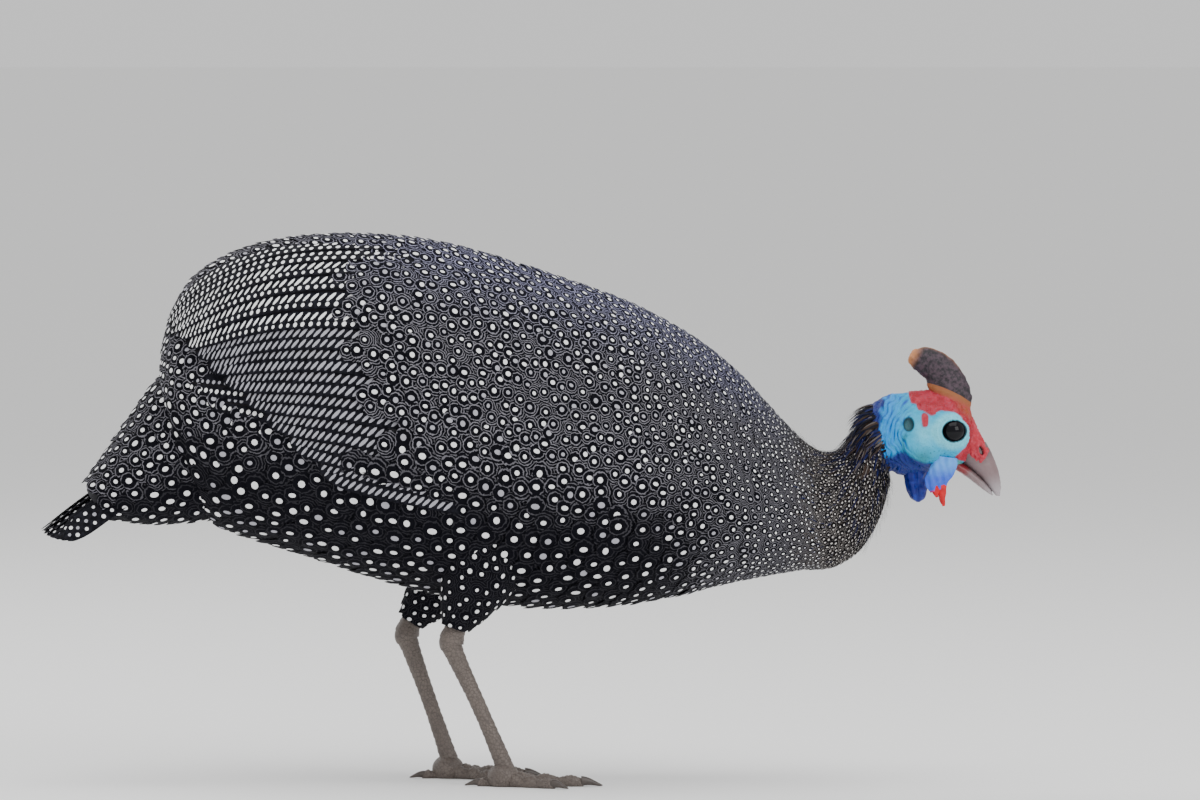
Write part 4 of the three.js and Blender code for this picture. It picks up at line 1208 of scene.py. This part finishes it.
def joinCards(name, cards, node):
    points, faces, white, quill, bake = zip(*cards)
    starts = np.cumsum([0] + [len(p) for p in points[:-1]])
    faces = [f + start for f, start in zip(faces, starts)]
    uvs = {"quill": np.vstack(quill), "OFBake": np.vstack(bake)}
    finishes = [vaneDark, coatSpot, dimSpot]
    piece = makePiece(
        name, np.vstack(points), np.vstack(faces), finishes,
        slots=np.concatenate(white), uvs=uvs, node=node, slot="quills",
    )
    print(name, len(piece.data.polygons))


def makeWings():
    marks = {
        "upper": [markRow(0.34, (3.7, 1.0), 0.67, 4.5, 1), markRow(0.76, (1.55, 1.15), 0.3, 4.5, 1)],
        "lower": [markRow(0.12, (3.9, 0.95), 0.7, 4.2, 2), markRow(0.67, (3.8, 1.0), 0.7, 4.2, 2)],
        "inner": [
            markRow(-0.1, (1.6, 1.2), 0.5, 4.9, 2),
            markRow(0.34, (1.9, 1.2), 0.5, 4.7, 1),
            markRow(0.76, (1.6, 1.2), 0.3, 4.7, 1),
        ],
        "long": [markRow(0.5, (1.9, 1.35), 0.9, 4.7, 1), markRow(-0.3, (1.7, 1.2), 0.9, 4.9, 2)],
    }
    primaries = {
        "root": ((5.0, 97), (5.2, 112)),  # place and angle of the first and of the last
        "tip": ((1.3, 79), (2.3, 97)),
        "half": (7, 7),
        "rise": (0.9, 0.9),  # height at the root and further on
        "tilt": 1.0,
        "fall": 1.0,  # how the tips fall back from the first to the last
        "kinds": ["long"] * 3,
    }
    secondaries = {
        "root": ((5.0, 13), (5.9, 112)),
        "tip": ((1.05, 21), (4.0, 112)),
        "half": (11, 12.5),
        "rise": (1.4, 2.9),
        "tilt": 1.8,
        "fall": 1.9,
        "kinds": ["inner"] * 2 + ["upper"] * 4 + ["lower"] * 7,
    }
    for side, name in ((1, "left"), (-1, "right")):
        cards = []
        for number, tier in enumerate((primaries, secondaries)):
            for k, kind in enumerate(tier["kinds"]):
                u = k / (len(tier["kinds"]) - 1)
                ends = []
                for key, share, rise in zip(("root", "tip"), (u, u ** tier["fall"]), tier["rise"]):
                    (a, b), (c, d) = tier[key]
                    ends.append((a + (c - a) * share, b + (d - b) * u, rise))
                start, end = ends
                half = tier["half"][0] + (tier["half"][1] - tier["half"][0]) * u
                angles = np.radians(np.linspace(start[1], end[1], 12))
                line = body.oval(np.linspace(start[0], end[0], 12), angles)
                length = np.linalg.norm(np.diff(line, axis=0), axis=1).sum() / mm
                seed = 100 * number + k
                cards.append(layVane(body, side, start, end, half, length, tier["tilt"], marks[kind], seed))
        joinCards("flightFeathers_" + name, cards, ("wing_" + name,))


makeWings()


# Tail

def makeTail():
    tail = {
        "root": (-188, 212),
        "droop": math.radians(35),
        "core": [  # distance behind the root, top, bottom, half width, how far the cover hangs lower
            (76, 3.5, -14, 19, 1),
            (60, 9.5, -27, 26, 3),
            (44, 15.5, -35, 31, 6),
            (26, 22, -41, 34, 10),
            (6, 29, -44, 35, 14),
            (-20, 34, -44, 34, 14),
        ],
        "feathers": 14,
        "half": 9.0,
        "roof": math.radians(52),  # how steep the outer feathers stand
        "arch": 2.5,
    }
    cos, sin = math.cos(tail["droop"]), math.sin(tail["droop"])
    back = np.array([-cos, 0, -sin])
    up = np.array([-sin, 0, cos])
    base = np.array([tail["root"][0], 0, tail["root"][1]])

    def at(distance, across, rise):
        return base + back * distance + up * rise + np.array([0, across, 0])

    chords = []
    for distance, top, bottom, half, hang in tail["core"]:
        a, b = at(distance, 0, top), at(distance, 0, bottom - hang)
        chords.append((a[0], a[2], b[0], b[2], half))
    cover = Surface(chords)
    down = Finish("tailDown", plumage["down"], 0.9)
    place, turn = ringGrid(np.linspace(0, cover.last, 24), 48)
    loftPiece("tailSkin", cover.point(place, turn, -1.5 * mm), [down], node=("tail",), slot="quills")

    cards = []
    rows = [
        markRow(-0.55, (1.7, 1.4), 0.3, 6.6, 1),
        markRow(0.0, (1.7, 1.4), 0.3, 6.9, 2),
        markRow(0.55, (1.7, 1.4), 0.3, 6.4, 1),
    ]
    outermost = (tail["feathers"] - 1) / 2
    for k in range(tail["feathers"]):
        rank = (k - outermost) / outermost  # from -1 on the right to 1 on the left
        drop = abs(rank) * 11 + (0.9 if rank < 0 else 0)
        roof = rank * tail["roof"]
        start = at(30, rank * 18, -3 - drop)
        end = at(111 - 10 * rank * rank, rank * 24, -1 - 1.1 * drop)
        length = np.linalg.norm(end - start)
        card, faces, white = vaneCard(length, tail["half"], 300 + k, rows, 0.6)
        forward = (end - start) / length
        side = np.array([0, math.cos(roof), 0]) - up * math.sin(roof)
        side = unit(side - forward * (side @ forward))
        across, t = card[:, 0], card[:, 1] / length
        rise = tail["arch"] * np.sin(math.pi * t) + 0.2 * bell(across / 0.8)
        rise = rise - 0.6 * (across / tail["half"]) ** 2
        points = start + (end - start) * t[:, None] + side * card[:, :1] + up * rise[:, None]
        bake = np.array([0.97, 0.1 + 0.05 * k]) + 0.003 * np.stack([across / 18, t - 0.5], -1)
        cards.append((points * mm, faces, white, card, bake))
    joinCards("tailFeathers", cards, None)

    def spacing(place, turn):
        return (7.6 + 1.2 * smooth(downAngle(turn), 70, 130)) * mm

    strewn = scatter(cover, spacing, (0.3, cover.last - 0.2), everywhere, 17, 6000)
    place, turn, _ = strewn
    options = dict(length=3.2, half=1.0, root=-0.3, tip=0.42, spot=0.95, twist=0.1, fine=True)
    marks = {"grey": 0.8 - 0.7 * smooth(downAngle(turn), 70, 120), "sheen": 0 * place, "brown": 0 * place}
    coatPiece("coatTail", cover, strewn, options, marks, [coatDark, coatSpot], np.ones(len(place), int), 61)


makeTail()


# Nape

def makeWisps():
    wisps = {  # lengths and widths in mm, places along the neck, degrees round it
        "napeLocks": {
            "count": 760, "length": (7.0, 15.0), "width": (1.1, 2.4), "lean": (0.15, 0.75),
            "from": 17.3, "back": 1.7, "around": 0, "spread": 94,
        },
        "napeBristles": {
            "count": 900, "length": (6.0, 15.0), "width": (0.3, 0.55), "lean": (0.3, 0.85),
            "from": 17.2, "back": 3.2, "around": 0, "spread": 45,
        },
        "neckFuzz": {
            "count": 2200, "length": (3.5, 7.5), "width": (0.35, 0.65), "lean": (0.35, 0.9),
            "from": 16.9, "back": 5.0, "around": 0, "spread": 100,
        },
        "throatBristles": {
            "count": 380, "length": (7.0, 18.5), "width": (0.5, 0.95), "lean": (0.5, 1.1),
            "from": 17.0, "back": 2.8, "around": 180, "spread": 32,
        },
    }
    colours = ((0.004, 0.004, 0.009), (0.035, 0.022, 0.017), (0.006, 0.010, 0.06), (0.10, 0.085, 0.08))
    shares = (0.42, 0.2, 0.28, 0.1)  # of the wisps in each colour
    widest = 2.6  # radians to either side
    steps = 5
    finishes = []
    for k, colour in enumerate(colours):
        finishes.append(Finish(f"wisp{k}", colour, 0.75, Specular_IOR_Level=0.15))
    strip = [face for a in range(0, 2 * steps - 2, 2) for face in ((a, a + 1, a + 3), (a, a + 3, a + 2))]
    for number, (name, wisp) in enumerate(wisps.items()):
        draw = np.random.default_rng(71 + number)
        count = wisp["count"]
        place = wisp["from"] - wisp["back"] * draw.uniform(0, 1, count) ** 1.3
        turn = np.clip(np.radians(draw.normal(0, wisp["spread"], count)), -widest, widest)
        turn = turn + math.radians(wisp["around"])
        ahead, round_ = skinRow.slopes(place, turn)
        normal, back, side = unit(np.cross(ahead, round_)), -unit(ahead), unit(round_)
        length = draw.uniform(*wisp["length"], count) * mm * (0.6 + 0.4 * np.cos(turn / 2) ** 2)
        lean = draw.uniform(*wisp["lean"], count)
        sway = draw.normal(0, 0.2, count)
        thick = draw.uniform(*wisp["width"], count) * mm
        root = skinRow.point(place, turn, 0.3 * mm)
        points = []
        for t in np.linspace(0, 1, steps):
            reach = normal * (lean * t - 0.3 * t * t)[:, None] + back * (0.75 * t + 0.25 * t * t)
            middle = root + length[:, None] * (reach + side * (sway * t)[:, None])
            edge = side * (thick * (0.55 + 1.3 * t - 1.75 * t * t) * 0.5)[:, None]
            points += [middle - edge, middle + edge]
        slots = np.repeat(draw.choice(4, count, p=shares), len(strip))
        bake = np.repeat(bakeSpot(place, turn, 24)[:, None, :], steps * 2, 1)
        bake = bake + 0.003 * draw.uniform(-0.5, 0.5, bake.shape)
        faces = repeatFaces(np.array(strip), count, steps * 2)
        points = np.stack(points, 1).reshape(-1, 3)
        uvs = {"OFBake": bake.reshape(-1, 2)}
        makePiece(name, points, faces, finishes, slots=slots, uvs=uvs, slot="neck_down")


makeWisps()
print("feathers laid")


# Legs

def makeLegs():
    legs = {
        "hip": 128,
        "hock": 84,
        "ankle": 13,
        "right": {"y": -34, "hip": -24, "hock": -39, "foot": -9},
        "left": {"y": 34, "hip": -42, "hock": -66, "foot": -42},
        "toes": {  # degrees outward, length, length of the claw, radius
            "middle": (0, 46, 11, 4.4),
            "inner": (34, 33, 9.5, 4.0),
            "outer": (-33, 35, 9.5, 4.0),
            "hind": (172, 15, 7.5, 3.2),
        },
        "pad": (9.3, 8.4, 8.2),
        "padHeight": 5.6,
        "colour": (0.085, 0.066, 0.058),
        "light": (0.20, 0.165, 0.14),
        "claw": (0.035, 0.028, 0.025),
        "clawLight": (0.10, 0.08, 0.07),
    }
    scales = Finish("legScales", legs["colour"], 0.5)
    place = scales.place()
    edge = scales.step(scales.cells(place, 520.0, "DISTANCE_TO_EDGE"), 0.0, 0.12)
    light = scales.clamp(edge * scales.noise(place, 90.0, 3.0) * 0.8)
    scales.feed("Base Color", scales.mix(light, legs["colour"], legs["light"]))
    scales.bump(edge, 0.5, 0.0005)
    clawHorn = Finish("clawHorn", legs["claw"], 0.35)
    streak = clawHorn.noise(clawHorn.place(), 500.0, 2.0)
    clawHorn.feed("Base Color", clawHorn.mix(streak, legs["claw"], legs["clawLight"]))

    def around(columns):
        return np.linspace(0, fullTurn, columns, endpoint=False)[None]

    def limb(stations, rows, columns, shape=None):  # rings along a path, each station x, y, z and radius
        stations = np.array(stations, float)
        middle = np.linspace(0, len(stations) - 1, rows)
        index = np.clip(np.floor(middle).astype(int), 0, len(stations) - 2)
        padded = np.vstack([2 * stations[0] - stations[1], stations, 2 * stations[-1] - stations[-2]])
        spine = curve(padded, index, (middle - index)[:, None])
        centre = spine[:, :3]
        out = np.array([0.0, 1.0, 0.0])
        front = unit(np.cross(out, unit(np.gradient(centre, axis=0))))
        angle = around(columns)
        size = spine[:, 3:] * np.ones_like(angle)
        if shape:
            distance = np.append(0, np.cumsum(np.linalg.norm(np.diff(centre, axis=0), axis=1)))
            size = size + shape(distance[:, None], angle)
        outward = np.cos(angle)[..., None] * front[:, None, :] + np.sin(angle)[..., None] * out
        return centre[:, None, :] + size[..., None] * outward

    def scutes(distance, angle):
        front = np.maximum(np.abs(np.cos(angle)) - 0.35, 0) / 0.65
        return 0.42 * front * ((distance / 4.6) % 1.0) ** 0.7

    def thighSpacing(place, turn):
        return (6.2 + 1.2 * smooth(place, 1, 3)) * mm

    for name in ("right", "left"):
        leg = legs[name]
        outSide = math.copysign(1, leg["y"])
        hip, hock, foot, y = leg["hip"], leg["hock"], leg["foot"], leg["y"]
        thigh = [
            (hip + 8, y, legs["hip"] + 18, 25),
            (hip, y, legs["hip"] - 8, 20.5),
            (hip + (hock - hip) * 0.55, y, legs["hip"] + (legs["hock"] - legs["hip"]) * 0.6, 12),
            (hock + 2, y, legs["hock"] + 8, 6.4),
        ]
        under = Finish("thighDown_" + name, plumage["down"], 0.9)
        rings = limb(thigh, 30, 40) * mm
        loftPiece("thighSkin_" + name, rings, [under], node=("thigh_" + name,), slot="plumage")
        tilt = math.atan2(legs["hip"] - legs["hock"], hip - hock)
        chords = []
        for x, _, z, radius in reversed(thigh):
            dx, dz = radius * math.sin(tilt), radius * math.cos(tilt)
            chords.append((x - dx, z + dz, x + dx, z - dz, radius))
        cover = Surface(chords)
        strewn = scatter(cover, thighSpacing, (0.12, 2.9), everywhere, 91, 2500)
        flat = 0 * strewn[0]
        options = dict(length=3.0, half=1.0, root=-0.1, tip=0.35, spot=0.9, twist=0.12, fine=False)
        marks = {"grey": 0.1 + flat, "sheen": flat, "brown": flat}
        slots = np.ones(len(flat), int)
        finishes = [coatDark, coatSpot]
        coatPiece("coatThigh_" + name, cover, strewn, options, marks, finishes, slots, 92, y * mm)
        shank = [
            (hock + 3.4, y, legs["hock"] + 10, 5.2),
            (hock, y, legs["hock"], 7.0),
            (hock + 2.2, y, legs["hock"] - 8, 5.2),
            (hock + (foot - hock) * 0.55, y, legs["hock"] + (legs["ankle"] - legs["hock"]) * 0.55, 4.1),
            (foot, y, legs["ankle"], 4.9),
            (foot + 1.5, y, 5.5, 6.5),
        ]
        rings = limb(shank, 150, 36, scutes) * mm
        loftPiece("shankScales_" + name, rings, [scales], node=("shank_" + name,), slot="leg_scales")
        tilt = np.linspace(0.02, math.pi - 0.02, 26)[:, None]
        angle = around(36)
        wide, deep, tall = legs["pad"]
        z = np.maximum(legs["padHeight"] + tall * np.cos(tilt) * np.ones_like(angle), 0.02)
        pad = [foot + wide * np.sin(tilt) * np.cos(angle), y + deep * np.sin(tilt) * np.sin(angle), z]
        loftPiece("footPad_" + name, np.stack(pad, -1) * mm, [scales], slot="leg_scales")
        for toeName, (turn, length, claw, radius) in legs["toes"].items():
            turn = -math.radians(turn) * outSide
            angle = around(30)

            def layRings(kind, along, across, z, finish, node, slot):  # along the toe and across it, in mm
                x = foot + along * math.cos(turn) - across * math.sin(turn)
                points = np.stack([x, y + along * math.sin(turn) + across * math.cos(turn), z], -1) * mm
                end = f"_{name}_{toeName}"
                loftPiece(kind + end, points, [finish], node=(node + end,), slot=slot)

            joints = 3 if length > 20 else 2
            t = np.linspace(0, 1, 20 * joints + 14)[:, None]
            size = radius * (1 - 0.34 * t) * (1 - 0.13 * np.cos(fullTurn * joints * t))
            size = size * np.sqrt(1 - ((t - 0.94) / 0.06).clip(0, 1) ** 2 * 0.75)
            size = size + 0.28 * np.maximum(np.sin(angle), 0) * ((t * length / 2.8) % 1.0) ** 0.7
            z = np.maximum(size * 1.75 * (0.46 + 0.56 * np.sin(angle)), 0.02)
            along = 3 + (length + 0.2 - 3) * t
            layRings("toeScales", along, size * np.cos(angle), z, scales, "toe", "leg_scales")
            t = np.linspace(0, 1, 24)[:, None]
            root = radius * 0.66
            size = root * 0.82 * (1 - t) ** 0.8 + 0.25
            middle = root * 1.05 + (0.7 - root * 1.05) * smooth(t, 0, 1) + 0.6 * np.sin(math.pi * t)
            z = np.maximum(middle + size * 1.15 * np.sin(angle), 0.03)
            along = length - 1.2 + (claw + 1.4) * t
            layRings("clawHorn", along, size * np.cos(angle), z, clawHorn, "claw", "claw_horn")


makeLegs()
print("legs made")
